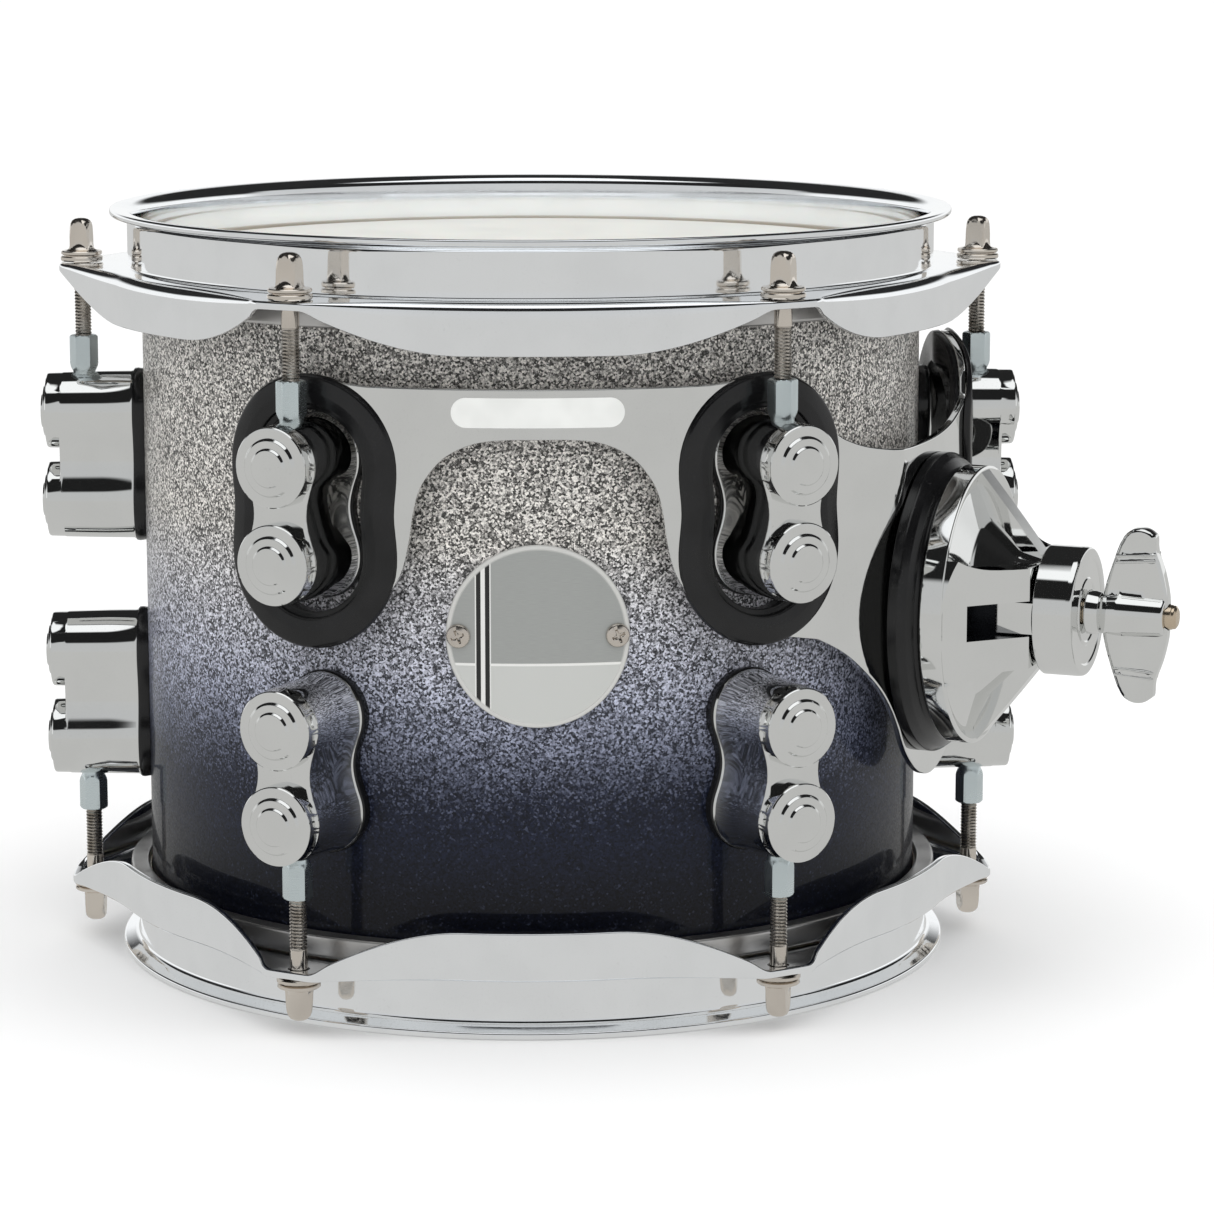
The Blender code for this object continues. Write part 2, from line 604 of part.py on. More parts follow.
def make_base():
    seat = PAD_FACE + GAP
    profile = [(0, BASE_TOP), (HUB_RADIUS, BASE_TOP), (HUB_RADIUS + 0.004, BASE_FLOOR + 0.0035)]
    profile += [(BASE_RADIUS - 0.0112, BASE_FLOOR), (BASE_RADIUS - 0.0018, BASE_RIM)]
    profile += [(BASE_RADIUS, BASE_RIM - 0.0012), (BASE_RADIUS, seat), (0, seat)]
    base = lathe("mount_base", profile, 40)
    foot = BASE_FLOOR - 0.003
    reach = BASE_RADIUS - 0.001

    def gable(top, half_top):
        return [(-reach, foot), (reach, foot), (reach, BASE_RIM - 0.0006), (half_top, top), (-half_top, top),
                (-reach, BASE_RIM - 0.0006)]

    bar = prism("bar", gable(BASE_TOP - 0.0003, CAP_RADIUS - 0.001), BAR_HALF_HEIGHT)
    bar.data.transform(Matrix.Rotation(math.pi / 2, 4, "X"))
    rim = cylinder("rim", BASE_RADIUS - 0.0004, THROUGH, 40)
    combine(bar, rim, "INTERSECT")
    combine(base, bar, "UNION")
    rib = prism("rib", gable(BASE_TOP - 0.0006, HUB_RADIUS), RIB_HALF_WIDTH)
    rib.data.transform(Matrix.Rotation(math.pi / 2, 4, "Z") @ Matrix.Rotation(math.pi / 2, 4, "X"))
    combine(base, rib, "UNION")
    socket = cylinder("arm_socket", SOCKET_RADIUS, 3 * BASE_RADIUS, 16)
    socket.data.transform(Matrix.Translation((0, 0, SOCKET_DISTANCE)) @ Matrix.Rotation(math.pi / 2, 4, "X"))
    combine(base, socket, "DIFFERENCE")
    for side in (-1, 1):
        above = BASE_TOP + CAP_THICKNESS
        corners = [(SLOT_START, SLOT_FLOOR), (BASE_RADIUS, SLOT_FLOOR)]
        corners += [(BASE_RADIUS, above), (SLOT_START, above)]
        slot = prism("slot", [(side * x, y) for x, y in corners], SLOT_HALF_HEIGHT, CUTTERS)
        slot.data.transform(Matrix.Rotation(math.pi / 2, 4, "X"))
        combine(base, slot, "DIFFERENCE")
    show_outside(paint(base, CHROME), MOUNT_AZIMUTH, MOUNT_HEIGHT)


def make_cap():
    back = BASE_TOP + GAP
    face = back + CAP_THICKNESS
    profile = [(0, face), (CAP_RADIUS - 0.001, face), (CAP_RADIUS, face - 0.001), (CAP_RADIUS, back), (0, back)]
    cap = lathe("clamp_cap", profile, 32)
    for side in (-1, 1):
        inner = side * (SLOT_START + 2 * GAP)
        outer = side * (CAP_RADIUS - 0.001)
        corners = [(inner, back - TONGUE_REACH), (outer, back - TONGUE_REACH), (outer, back + 0.002)]
        tongue = prism("tongue", corners + [(inner, back + 0.002)], SLOT_HALF_HEIGHT - 2 * GAP)
        tongue.data.transform(Matrix.Rotation(math.pi / 2, 4, "X"))
        combine(cap, tongue, "UNION")
    combine(cap, cylinder("cap_bore", BOLT_RADIUS + GAP, THROUGH, 16), "DIFFERENCE")
    cap.data.transform(Matrix.Translation((0, 0, -back)))
    show_outside(paint(cap, CHROME), MOUNT_AZIMUTH, MOUNT_HEIGHT, distance=back)


def make_wing(seat):
    hub_end = WING_TOP - 0.001
    profile = [(0, hub_end), (BOLT_RADIUS + 0.0032, hub_end), (WING_NECK + 0.0009, seat + 0.012)]
    profile += [(WING_NECK, seat), (0, seat)]
    wing = lathe("wing_nut", profile, 20)
    root = seat + 0.0052
    lobe = [(root, 0.002), (root + 0.0006, 0.009), (root + 0.003, 0.0175), (root + 0.0054, 0.0243)]
    lobe += arc((root + 0.0119, WING_SPAN - 0.0062), 0.0062, 150, 40, 36)
    lobe += [(WING_TOP - 0.0027, 0.0165), (WING_TOP, 0.005)]
    outline = [(z, -y) for z, y in lobe] + [(z, y) for z, y in reversed(lobe)]
    blade = prism("blade", outline, WING_HALF_THICKNESS)
    blade.data.transform(Matrix.Rotation(-math.pi / 2, 4, "Y"))
    combine(wing, blade, "UNION")
    combine(wing, cylinder("wing_bore", BOLT_RADIUS + GAP, THROUGH, 16), "DIFFERENCE")
    wing.data.transform(Matrix.Translation((0, 0, -seat)))
    show_outside(paint(wing, CHROME), MOUNT_AZIMUTH, MOUNT_HEIGHT, distance=seat)


def make_mount():
    make_pad()
    make_base()
    make_cap()
    make_wing(WING_SEAT)
    start = BASE_TOP + GAP
    bolt = lathe("clamp_bolt", [(0, BOLT_END), (BOLT_RADIUS - 0.0004, BOLT_END), (BOLT_RADIUS, BOLT_END - 0.0005),
                                (BOLT_RADIUS, start), (0, start)], 16)
    show_outside(paint(bolt, NICKEL), MOUNT_AZIMUTH, MOUNT_HEIGHT)


def make_badge():
    outline = arc((0, 0), BADGE_RADIUS, 0, 350, 10)
    radius = SHELL_RADIUS + GAP + BADGE_THICKNESS
    stand(paint(wrapped_sheet("badge", [outline], radius, BADGE_THICKNESS), BADGE_METAL), height=BADGE_HEIGHT)
    seat = radius + GAP
    profile = [(0, SCREW_HEAD_HEIGHT), (SCREW_HEAD_RADIUS * 0.6, SCREW_HEAD_HEIGHT * 0.85)]
    profile += [(SCREW_HEAD_RADIUS, SCREW_HEAD_HEIGHT * 0.3), (SCREW_HEAD_RADIUS, 0), (0, 0)]
    screw = paint(lathe("badge_screw_left", profile, 12), NICKEL)
    angle = math.degrees(BADGE_SCREW_OFFSET / radius)
    show_outside(screw, -angle, BADGE_HEIGHT, distance=seat)
    show_outside(add_object("badge_screw_right", screw.data), angle, BADGE_HEIGHT, distance=seat)
    corner = LABEL_HEIGHT / 2
    side = LABEL_WIDTH / 2 - corner
    outline = arc((side, 0), corner, -90, 90, 30) + arc((-side, 0), corner, 90, 270, 30)
    label = wrapped_sheet("label", [outline], PLATE_OUTER + GAP + FILM, FILM)
    stand(paint(label, WHITE_VINYL), height=GROMMET_HEIGHT + LABEL_RISE)


make_shell()
make_heads()
make_hoops()
make_tension_hardware()
make_plate_and_grommets()
make_mount()
make_badge()
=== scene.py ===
"""Visual model of a ten-inch suspended rack tom, laid out as a Blender add-on.

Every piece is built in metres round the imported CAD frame. The origin is the centre of the batter head,
and heights called "from the mid-plane" are counted from the middle of the shell. An azimuth is an angle
in degrees round the shell, from the front (-Y) towards the right side (+X).
"""
import math

import bmesh
import bpy
import numpy as np
from bpy.props import FloatProperty, FloatVectorProperty, PointerProperty
from bpy.types import Operator, Panel, PropertyGroup
from mathutils import Matrix, Vector
from mathutils.geometry import delaunay_2d_cdt


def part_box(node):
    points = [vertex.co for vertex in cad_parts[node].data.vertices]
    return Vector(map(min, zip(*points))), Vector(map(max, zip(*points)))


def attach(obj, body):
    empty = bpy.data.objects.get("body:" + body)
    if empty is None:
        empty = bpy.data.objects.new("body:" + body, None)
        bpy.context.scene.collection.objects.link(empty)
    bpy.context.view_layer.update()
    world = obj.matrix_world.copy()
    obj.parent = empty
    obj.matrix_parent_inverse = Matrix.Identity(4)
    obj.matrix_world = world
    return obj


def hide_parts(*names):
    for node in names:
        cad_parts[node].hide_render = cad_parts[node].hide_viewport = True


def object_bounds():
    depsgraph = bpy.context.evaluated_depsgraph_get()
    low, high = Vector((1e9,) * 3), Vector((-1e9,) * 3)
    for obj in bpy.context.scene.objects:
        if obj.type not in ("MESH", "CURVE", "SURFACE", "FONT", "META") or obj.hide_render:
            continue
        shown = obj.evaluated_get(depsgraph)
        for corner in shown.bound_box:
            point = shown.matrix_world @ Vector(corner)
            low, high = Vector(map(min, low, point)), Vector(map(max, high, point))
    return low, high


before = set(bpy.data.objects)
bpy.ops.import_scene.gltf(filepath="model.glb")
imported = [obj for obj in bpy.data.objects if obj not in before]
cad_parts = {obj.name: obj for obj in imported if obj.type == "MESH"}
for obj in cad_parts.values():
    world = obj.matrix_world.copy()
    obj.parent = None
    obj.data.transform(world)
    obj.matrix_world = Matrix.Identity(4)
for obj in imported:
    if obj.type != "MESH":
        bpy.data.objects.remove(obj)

bl_info = {
    "name": "Suspended Rack Tom",
    "version": (1, 0, 0),
    "blender": (4, 5, 0),
    "location": "View3D > Sidebar > Rack Tom",
    "description": "Builds the shell, heads, hoops, lugs, tension rods and side mount of a rack tom",
    "category": "Add Mesh",
}

CAD_LOW, CAD_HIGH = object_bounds()
SHELL_LOW, SHELL_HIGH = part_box("shell")
SHELL_RADIUS = SHELL_HIGH.x
SHELL_DEPTH = SHELL_HIGH.z - SHELL_LOW.z
MID = (SHELL_LOW.z + SHELL_HIGH.z) / 2
RIM_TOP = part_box("batter_hoop")[1].z - MID
FLOOR = CAD_LOW.z
LUG_COUNT = 6
FIRST_LUG = -150
LUG_STEP = 60
PLATE_LOBES = (-30, 30, 90)
RING_STEPS = 288
CLEAR = 0.0003
BADGE_UV = 0.06  # width that the badge's flat coordinates span


# ---------------------------------------------------------------- sizes and finishes

def length(name, description, default):
    return FloatProperty(name=name, description=description, default=default, unit="LENGTH", precision=5)


def degrees(name, description, default):
    return FloatProperty(name=name, description=description, default=default, precision=2)


def colour(name, description, default):
    return FloatVectorProperty(name=name, description=description, default=default, subtype="COLOR",
                               size=3, min=0, max=1)


class DrumSizes(PropertyGroup):
    """Sizes of the shell, the heads and the hoops"""
    shell_radius: length("Shell radius", "Outer radius of the shell", SHELL_RADIUS)
    shell_depth: length("Shell depth", "Depth over both bearing edges", SHELL_DEPTH)
    shell_wall: length("Shell wall", "Thickness of the shell", 0.0055)
    bearing_edge: length("Bearing edge", "Width of the chamfer of the bearing edge", 0.0024)
    film: length("Head film", "Thickness of a head", 0.0004)
    collar_depth: length("Collar depth", "How far the head's collar reaches down the shell", 0.0102)
    flesh_radius: length("Flesh hoop radius", "Outer radius of the metal ring that holds the head", 0.134)
    sheet: length("Hoop sheet", "Thickness of the hoop's sheet metal", 0.002)
    wall_radius: length("Hoop wall radius", "Outer radius of the hoop's upright wall", 0.1313)
    lip: length("Hoop lip", "How far the flared lip stands out from the wall", 0.0056)
    hoop_height: length("Hoop height", "Height of the lip over the step", 0.0185)
    skirt_radius: length("Skirt radius", "Outer radius of the hoop's lower skirt", 0.1407)
    skirt_drop: length("Skirt drop", "How far the skirt hangs below the step's top face", 0.0158)
    ear_reach: length("Ear reach", "Distance of an ear's end from the drum's axis", 0.1535)
    ear_half_width: length("Ear half width", "Half the width of an ear", 0.00675)
    ear_blend: length("Ear blend", "Length of the curve from an ear to the full skirt", 0.046)


class HardwareSizes(PropertyGroup):
    """Sizes of the lugs, the swivel nuts and the tension rods"""
    lug_height: length("Lug height", "Height of a lug's middle from the mid-plane", 0.0398)
    turret_spacing: length("Turret spacing", "Distance between a lug's two round ends", 0.0293)
    turret_radius: length("Turret radius", "Radius of a lug's round end", 0.01225)
    turret_top: length("Turret top", "Distance of a lug's end face from the drum's axis", 0.1607)
    web_face: length("Web face", "Distance of the flat between the turrets from the axis", 0.1545)
    casing_radius: length("Casing radius", "Radius of the lug's body round each turret", 0.01255)
    casing_waist: length("Casing waist", "Half the width of the lug's body at its middle", 0.0092)
    gasket: length("Gasket", "Thickness of the rubber gasket under a lug", 0.0033)
    rod_circle: length("Rod circle", "Distance of the tension rods from the drum's axis", 0.1466)
    rod_radius: length("Rod radius", "Outer radius of a tension rod's thread", 0.00275)
    rod_neck: length("Rod neck", "Length of the smooth neck under the ear", 0.0084)
    rod_end: length("Rod end", "Height of a rod's end from the mid-plane", 0.0686)
    thread_pitch: length("Thread pitch", "Distance from one thread to the next", 0.00106)
    thread_depth: length("Thread depth", "Depth of the thread", 0.00036)
    key_half: length("Key half width", "Half the width of a rod's square head", 0.00318)
    washer_radius: length("Washer radius", "Radius of the washer under a rod's head", 0.00685)
    nut_flats: length("Nut flats", "Width of a swivel nut over its flats", 0.008)
    nut_length: length("Nut length", "Length of a swivel nut", 0.0127)


class MountSizes(PropertyGroup):
    """Sizes of the suspension plate, its grommets, the side mount, the badge and the label"""
    plate_radius: length("Plate radius", "Distance of the plate's outer face from the axis", 0.1372)
    plate_thickness: length("Plate thickness", "Thickness of the plate", 0.0025)
    grommet_half_width: length("Grommet half width", "Half the width of a grommet's middle line", 0.0225)
    grommet_centres: length("Grommet centres", "Height of each round end of a grommet", 0.0129)
    grommet_waist: length("Grommet waist", "Half the width of a grommet at its waist", 0.0215)
    grommet_height: length("Grommet height", "Height of the grommets from the mid-plane", 0.0387)
    mount_azimuth: degrees("Mount azimuth", "Angle of the side mount round the shell", 66.0)
    mount_height: length("Mount height", "Height of the side mount from the mid-plane", -0.0008)
    mount_flat: length("Mount flat", "Distance of the plate's flat under the mount", 0.1392)
    pad_radius: length("Pad radius", "Radius of the rubber pad", 0.0478)
    pad_face: length("Pad face", "Distance of the pad's front from the axis", 0.148)
    base_radius: length("Base radius", "Radius of the mount's base", 0.0442)
    base_rim: length("Base rim", "Distance of the base's rim from the axis", 0.156)
    base_top: length("Base top", "Distance of the base's seat for the cap from the axis", 0.1772)
    bar_half_height: length("Bar half height", "Half the height of the base's wide bar", 0.0157)
    cap_radius: length("Cap radius", "Radius of the clamp cap", 0.0205)
    cap_thickness: length("Cap thickness", "Thickness of the clamp cap", 0.0128)
    bolt_radius: length("Bolt radius", "Radius of the clamp bolt", 0.0039)
    bolt_end: length("Bolt end", "Distance of the bolt's end from the axis", 0.2193)
    wing_span: length("Wing span", "Height of each wing of the wing nut", 0.0278)
    wing_top: length("Wing top", "Distance of the wing nut's outer edge from the axis", 0.2165)
    badge_radius: length("Badge radius", "Radius of the badge", 0.028)
    badge_height: length("Badge height", "Height of the badge from the mid-plane", 0.0015)
    badge_screws: length("Badge screws", "Distance of each screw from the badge's middle", 0.0241)
    label_width: length("Label width", "Width of the label on the plate", 0.052)
    label_height: length("Label height", "Height of the label on the plate", 0.009)
    label_rise: length("Label rise", "Height of the label from the mid-plane", 0.0705)


class DrumFinishes(PropertyGroup):
    """Colours and scales of the finishes"""
    silver: colour("Silver flake", "Colour of the brightest flakes of the lacquer", (0.94, 0.91, 0.86))
    night: colour("Fade colour", "Colour that the lacquer fades to", (0.0058, 0.0082, 0.0200))
    chrome: colour("Chrome", "Colour of the chrome plating", (0.80, 0.805, 0.795))
    hoop: colour("Hoop plating", "Colour of the hoops' brighter plating", (0.97, 0.985, 1.0))
    # Painted shade: a near-black plating colour for the faces inside the base's slots and arm bores, standing
    # in for the shade in these hollows, not a duller plating
    recess: colour("Recess", "Colour of the dull plating inside the casting's slots", (0.07, 0.075, 0.085))
    nickel: colour("Nickel", "Colour of the nickel plating", (0.76, 0.70, 0.63))
    zinc: colour("Zinc", "Colour of the zinc-plated nuts", (0.70, 0.78, 0.80))
    film: colour("Head film", "Colour of the heads", (0.86, 0.84, 0.79))
    rubber: colour("Rubber", "Colour of the grommets, gaskets and pad", (0.006, 0.006, 0.0065))
    badge: colour("Badge grey", "Darker grey of the badge", (0.30, 0.31, 0.30))
    flake: length("Flake size", "Width of a flake of the lacquer", 0.00062)
    fade_top: length("Fade top", "Height from the mid-plane where the fade starts", 0.030)
    fade_bottom: length("Fade bottom", "Height from the mid-plane where the fade is complete", -0.074)


class StudioSettings(PropertyGroup):
    """Camera and light of the stage"""
    lens: FloatProperty(name="Lens", description="Focal length of the camera", default=122.0, unit="CAMERA")
    camera_spot: FloatVectorProperty(name="Camera spot", description="Where the camera stands",
                                     default=(-0.0180, -1.3464, 0.1200), subtype="TRANSLATION")
    camera_aim: FloatVectorProperty(name="Camera aim", description="What the camera looks at",
                                    default=(0.0248, -0.0008, -0.1190), subtype="TRANSLATION")
    softbox: FloatProperty(name="Softbox", description="Power of the light over the drum", default=6.0,
                           unit="POWER")


# ---------------------------------------------------------------- node helpers

def add_node(tree, kind, inputs=None, **settings):
    """Add a node, set its plain settings, then fill or link its inputs by name or index."""
    node = tree.nodes.new(kind)
    for key, value in settings.items():
        setattr(node, key, value)
    for key, value in (inputs or {}).items():
        socket = node.inputs[key]
        if isinstance(value, bpy.types.NodeSocket):
            tree.links.new(value, socket)
        else:
            socket.default_value = value
    return node


def calculate(tree, operation, first, second=0.0, third=None, clamp=False):
    inputs = {0: first, 1: second}
    if third is not None:
        inputs[2] = third
    return add_node(tree, "ShaderNodeMath", inputs, operation=operation, use_clamp=clamp).outputs[0]


def remap(tree, value, low, high, to_low=0.0, to_high=1.0, smooth=True):
    inputs = {"Value": value, "From Min": low, "From Max": high, "To Min": to_low, "To Max": to_high}
    kind = "SMOOTHSTEP" if smooth else "LINEAR"
    return add_node(tree, "ShaderNodeMapRange", inputs, interpolation_type=kind).outputs["Result"]


def mix_colour(tree, share, first, second, blend="MIX"):
    inputs = {0: share, 6: first, 7: second}
    return add_node(tree, "ShaderNodeMix", inputs, data_type="RGBA", blend_type=blend).outputs[2]


def noise(tree, spot, scale, detail, **more):
    inputs = {"Vector": spot, "Scale": scale, "Detail": detail, **more}
    return add_node(tree, "ShaderNodeTexNoise", inputs).outputs[0]


def stretch(tree, spot, scale, **more):
    return add_node(tree, "ShaderNodeMapping", {"Vector": spot, "Scale": scale, **more}).outputs[0]


def vector_math(tree, operation, first, **inputs):
    """A vector calculation. Its other inputs are named second or Scale."""
    values = {0: first}
    if "second" in inputs:
        values[1] = inputs.pop("second")
    return add_node(tree, "ShaderNodeVectorMath", {**values, **inputs}, operation=operation).outputs


def separate_xyz(tree, spot):
    return add_node(tree, "ShaderNodeSeparateXYZ", {0: spot}).outputs


def combine_xyz(tree, **parts):
    return add_node(tree, "ShaderNodeCombineXYZ", parts).outputs[0]


def rgba(values, scale=1.0):
    return (values[0] * scale, values[1] * scale, values[2] * scale, 1.0)


def new_group(name, kind, inputs, outputs):
    """An empty node group with (name, socket type, default) inputs and (name, socket type) outputs."""
    tree = bpy.data.node_groups.new(name, kind)
    for label, socket_type, default in inputs:
        socket = tree.interface.new_socket(name=label, in_out="INPUT", socket_type=socket_type)
        if default is not None:
            socket.default_value = default
    for label, socket_type in outputs:
        tree.interface.new_socket(name=label, in_out="OUTPUT", socket_type=socket_type)
    return tree, tree.nodes.new("NodeGroupInput").outputs, tree.nodes.new("NodeGroupOutput").inputs


def use_group(tree, group, inputs):
    return add_node(tree, "ShaderNodeGroup", inputs, node_tree=group).outputs


# ---------------------------------------------------------------- shared effects

FLOAT, VECTOR = "NodeSocketFloat", "NodeSocketVector"


def flake_group():
    """Metal flakes: each cell has its own brightness, and a finer layer breaks the cells up."""
    tree, given, result = new_group("metal_flakes", "ShaderNodeTree",
                                    [("Vector", VECTOR, None), ("Flake Size", FLOAT, 0.0006)],
                                    [("Brightness", FLOAT), ("Spread", FLOAT), ("Height", FLOAT)])

    def cells(scale):
        inputs = {"Vector": given["Vector"], "Scale": scale}
        found = add_node(tree, "ShaderNodeTexVoronoi", inputs, feature="F1")
        return add_node(tree, "ShaderNodeSeparateColor", {0: found.outputs["Color"]}).outputs

    coarse_scale = calculate(tree, "DIVIDE", 1.0, given["Flake Size"])
    coarse = cells(coarse_scale)
    fine = cells(calculate(tree, "MULTIPLY", coarse_scale, 1.9))
    mixed = calculate(tree, "ADD", calculate(tree, "MULTIPLY", coarse[0], 0.72),
                      calculate(tree, "MULTIPLY", fine[0], 0.28))
    tree.links.new(mixed, result["Brightness"])
    tree.links.new(coarse[1], result["Spread"])
    tree.links.new(coarse[2], result["Height"])
    return tree


def scratch_group():
    """Fine rub marks and cloudy patches of a handled, polished surface."""
    tree, given, result = new_group("rub_marks", "ShaderNodeTree",
                                    [("Vector", VECTOR, None), ("Scale", FLOAT, 120.0)],
                                    [("Marks", FLOAT), ("Cloud", FLOAT)])
    stretched = stretch(tree, given["Vector"], (1.0, 1.0, 9.0), Rotation=(0.4, 0.3, 0.2))
    fine = noise(tree, stretched, given["Scale"], 3.0, Roughness=0.6)
    cloud = noise(tree, given["Vector"], calculate(tree, "MULTIPLY", given["Scale"], 0.22), 2.0)
    tree.links.new(remap(tree, fine, 0.55, 0.72), result["Marks"])
    tree.links.new(remap(tree, cloud, 0.35, 0.7), result["Cloud"])
    return tree


def dust_group():
    """Specks of dust, more of them where a surface faces up."""
    tree, given, result = new_group("dust_specks", "ShaderNodeTree", [
        ("Vector", VECTOR, None), ("Normal", VECTOR, None), ("Amount", FLOAT, 0.3)], [("Mask", FLOAT)])
    speck = remap(tree, noise(tree, given["Vector"], 1900.0, 1.0), 0.62, 0.75)
    patches = noise(tree, given["Vector"], 60.0, 3.0)
    facing = remap(tree, separate_xyz(tree, given["Normal"])[2], -0.2, 1.0, 0.25, 1.0)
    cover = calculate(tree, "MULTIPLY", calculate(tree, "MULTIPLY", speck, patches), facing)
    tree.links.new(calculate(tree, "MULTIPLY", cover, given["Amount"], clamp=True), result["Mask"])
    return tree


def grain_group():
    """The soft grain of moulded rubber and film."""
    tree, given, result = new_group("moulded_grain", "ShaderNodeTree",
                                    [("Vector", VECTOR, None), ("Scale", FLOAT, 900.0)],
                                    [("Height", FLOAT), ("Shade", FLOAT)])
    wide = noise(tree, given["Vector"], calculate(tree, "MULTIPLY", given["Scale"], 0.06), 2.0)
    tree.links.new(noise(tree, given["Vector"], given["Scale"], 4.0), result["Height"])
    tree.links.new(remap(tree, wide, 0.3, 0.7), result["Shade"])
    return tree


def make_groups():
    return {"flakes": flake_group(), "rub": scratch_group(), "dust": dust_group(), "grain": grain_group()}


# ---------------------------------------------------------------- materials

def new_material(name):
    material = bpy.data.materials.new(name)
    material.use_nodes = True
    tree = material.node_tree
    shader = tree.nodes["Principled BSDF"]
    place = tree.nodes.new("ShaderNodeTexCoord").outputs["Object"]
    return material, tree, shader, place


def set_bump(tree, shader, height, strength, distance):
    bump = add_node(tree, "ShaderNodeBump", {"Height": height, "Strength": strength, "Distance": distance})
    tree.links.new(bump.outputs[0], shader.inputs["Normal"])


def plated_metal(name, groups, tint, rough, marks, cloud, dark=0.9):
    """A plated metal with faint rub marks, cloudy polish and a little dust in the tint."""
    material, tree, shader, place = new_material(name)
    shader.inputs["Metallic"].default_value = 1.0
    rub = use_group(tree, groups["rub"], {"Vector": place, "Scale": 260.0})
    normal = tree.nodes.new("ShaderNodeNewGeometry").outputs["Normal"]
    dust = use_group(tree, groups["dust"], {"Vector": place, "Normal": normal, "Amount": 0.35})
    shade = mix_colour(tree, rub["Cloud"], rgba(tint), rgba(tint, dark))
    tree.links.new(mix_colour(tree, dust["Mask"], shade, (0.36, 0.35, 0.33, 1)), shader.inputs["Base Color"])
    base = calculate(tree, "MULTIPLY_ADD", rub["Marks"], marks, rough)
    tree.links.new(calculate(tree, "MULTIPLY_ADD", rub["Cloud"], cloud, base), shader.inputs["Roughness"])
    return material


def sparkle_lacquer(f, groups):
    """Silver flakes under clear lacquer, fading to a blue-black towards the lower edge."""
    material, tree, shader, place = new_material("sparkle_lacquer")
    flakes = use_group(tree, groups["flakes"], {"Vector": place, "Flake Size": f.flake})
    ramp = add_node(tree, "ShaderNodeValToRGB", {0: flakes["Brightness"]})
    stops = ((0.0, 0.02), (0.30, 0.07), (0.46, 0.24), (0.60, 0.48), (0.78, 0.82), (1.0, 1.0))
    for index, (spot, level) in enumerate(stops):
        element = ramp.color_ramp.elements[index] if index < 2 else ramp.color_ramp.elements.new(spot)
        element.position = spot
        element.color = (level, level, level, 1)
    silver = mix_colour(tree, 1.0, ramp.outputs[0], rgba(f.silver), "MULTIPLY")
    height = separate_xyz(tree, place)[2]
    wander = 0.012
    shifted = calculate(tree, "MULTIPLY_ADD", noise(tree, place, 24.0, 3.0), wander, height)
    middle = MID + wander / 2
    level = remap(tree, shifted, middle + f.fade_bottom, middle + f.fade_top, smooth=False)
    curve = add_node(tree, "ShaderNodeFloatCurve", {"Value": level})
    points = ((0.0, 0.0), (0.13, 0.02), (0.25, 0.12), (0.37, 0.32), (0.48, 0.56), (0.62, 0.80), (1.0, 1.0))
    line = curve.mapping.curves[0]
    for spot, value in points[1:-1]:
        line.points.new(spot, value)
    line.points[0].location = points[0]
    line.points[-1].location = points[-1]
    curve.mapping.update()
    uneven = calculate(tree, "SUBTRACT", flakes["Spread"], 0.5)
    spread = calculate(tree, "MULTIPLY_ADD", uneven, 0.18, curve.outputs[0])
    cover = remap(tree, spread, 0.06, 1.0, smooth=False)
    cool = mix_colour(tree, level, (0.70, 0.85, 1.42, 1), (1.0, 1.0, 1.0, 1))
    tinted = mix_colour(tree, 1.0, silver, cool, "MULTIPLY")
    glint = calculate(tree, "MULTIPLY_ADD", flakes["Brightness"], 1.5, 0.25)
    deep = mix_colour(tree, 1.0, rgba(f.night), glint, "MULTIPLY")
    lowest = remap(tree, height, MID - 0.086, MID - 0.060, 0.35, 1.0)
    deeper = mix_colour(tree, 1.0, deep, lowest, "MULTIPLY")
    tree.links.new(mix_colour(tree, cover, deeper, tinted), shader.inputs["Base Color"])
    rough = calculate(tree, "MULTIPLY_ADD", flakes["Spread"], 0.2, 0.35)
    tree.links.new(rough, shader.inputs["Roughness"])
    shader.inputs["Specular IOR Level"].default_value = 0.12
    shader.inputs["Coat Weight"].default_value = 0.35
    shader.inputs["Coat Roughness"].default_value = 0.04
    set_bump(tree, shader, flakes["Height"], 0.12, 0.0002)
    return material


def soft_rubber(f, groups):
    material, tree, shader, place = new_material("moulded_rubber")
    grain = use_group(tree, groups["grain"], {"Vector": place, "Scale": 1100.0})
    normal = tree.nodes.new("ShaderNodeNewGeometry").outputs["Normal"]
    dust = use_group(tree, groups["dust"], {"Vector": place, "Normal": normal, "Amount": 0.35})
    shade = mix_colour(tree, grain["Shade"], rgba(f.rubber, 0.7), rgba(f.rubber, 1.4))
    tree.links.new(mix_colour(tree, dust["Mask"], shade, (0.10, 0.10, 0.10, 1)), shader.inputs["Base Color"])
    tree.links.new(calculate(tree, "MULTIPLY_ADD", grain["Shade"], 0.10, 0.16), shader.inputs["Roughness"])
    shader.inputs["Specular IOR Level"].default_value = 0.42
    set_bump(tree, shader, grain["Height"], 0.15, 0.0001)
    return material


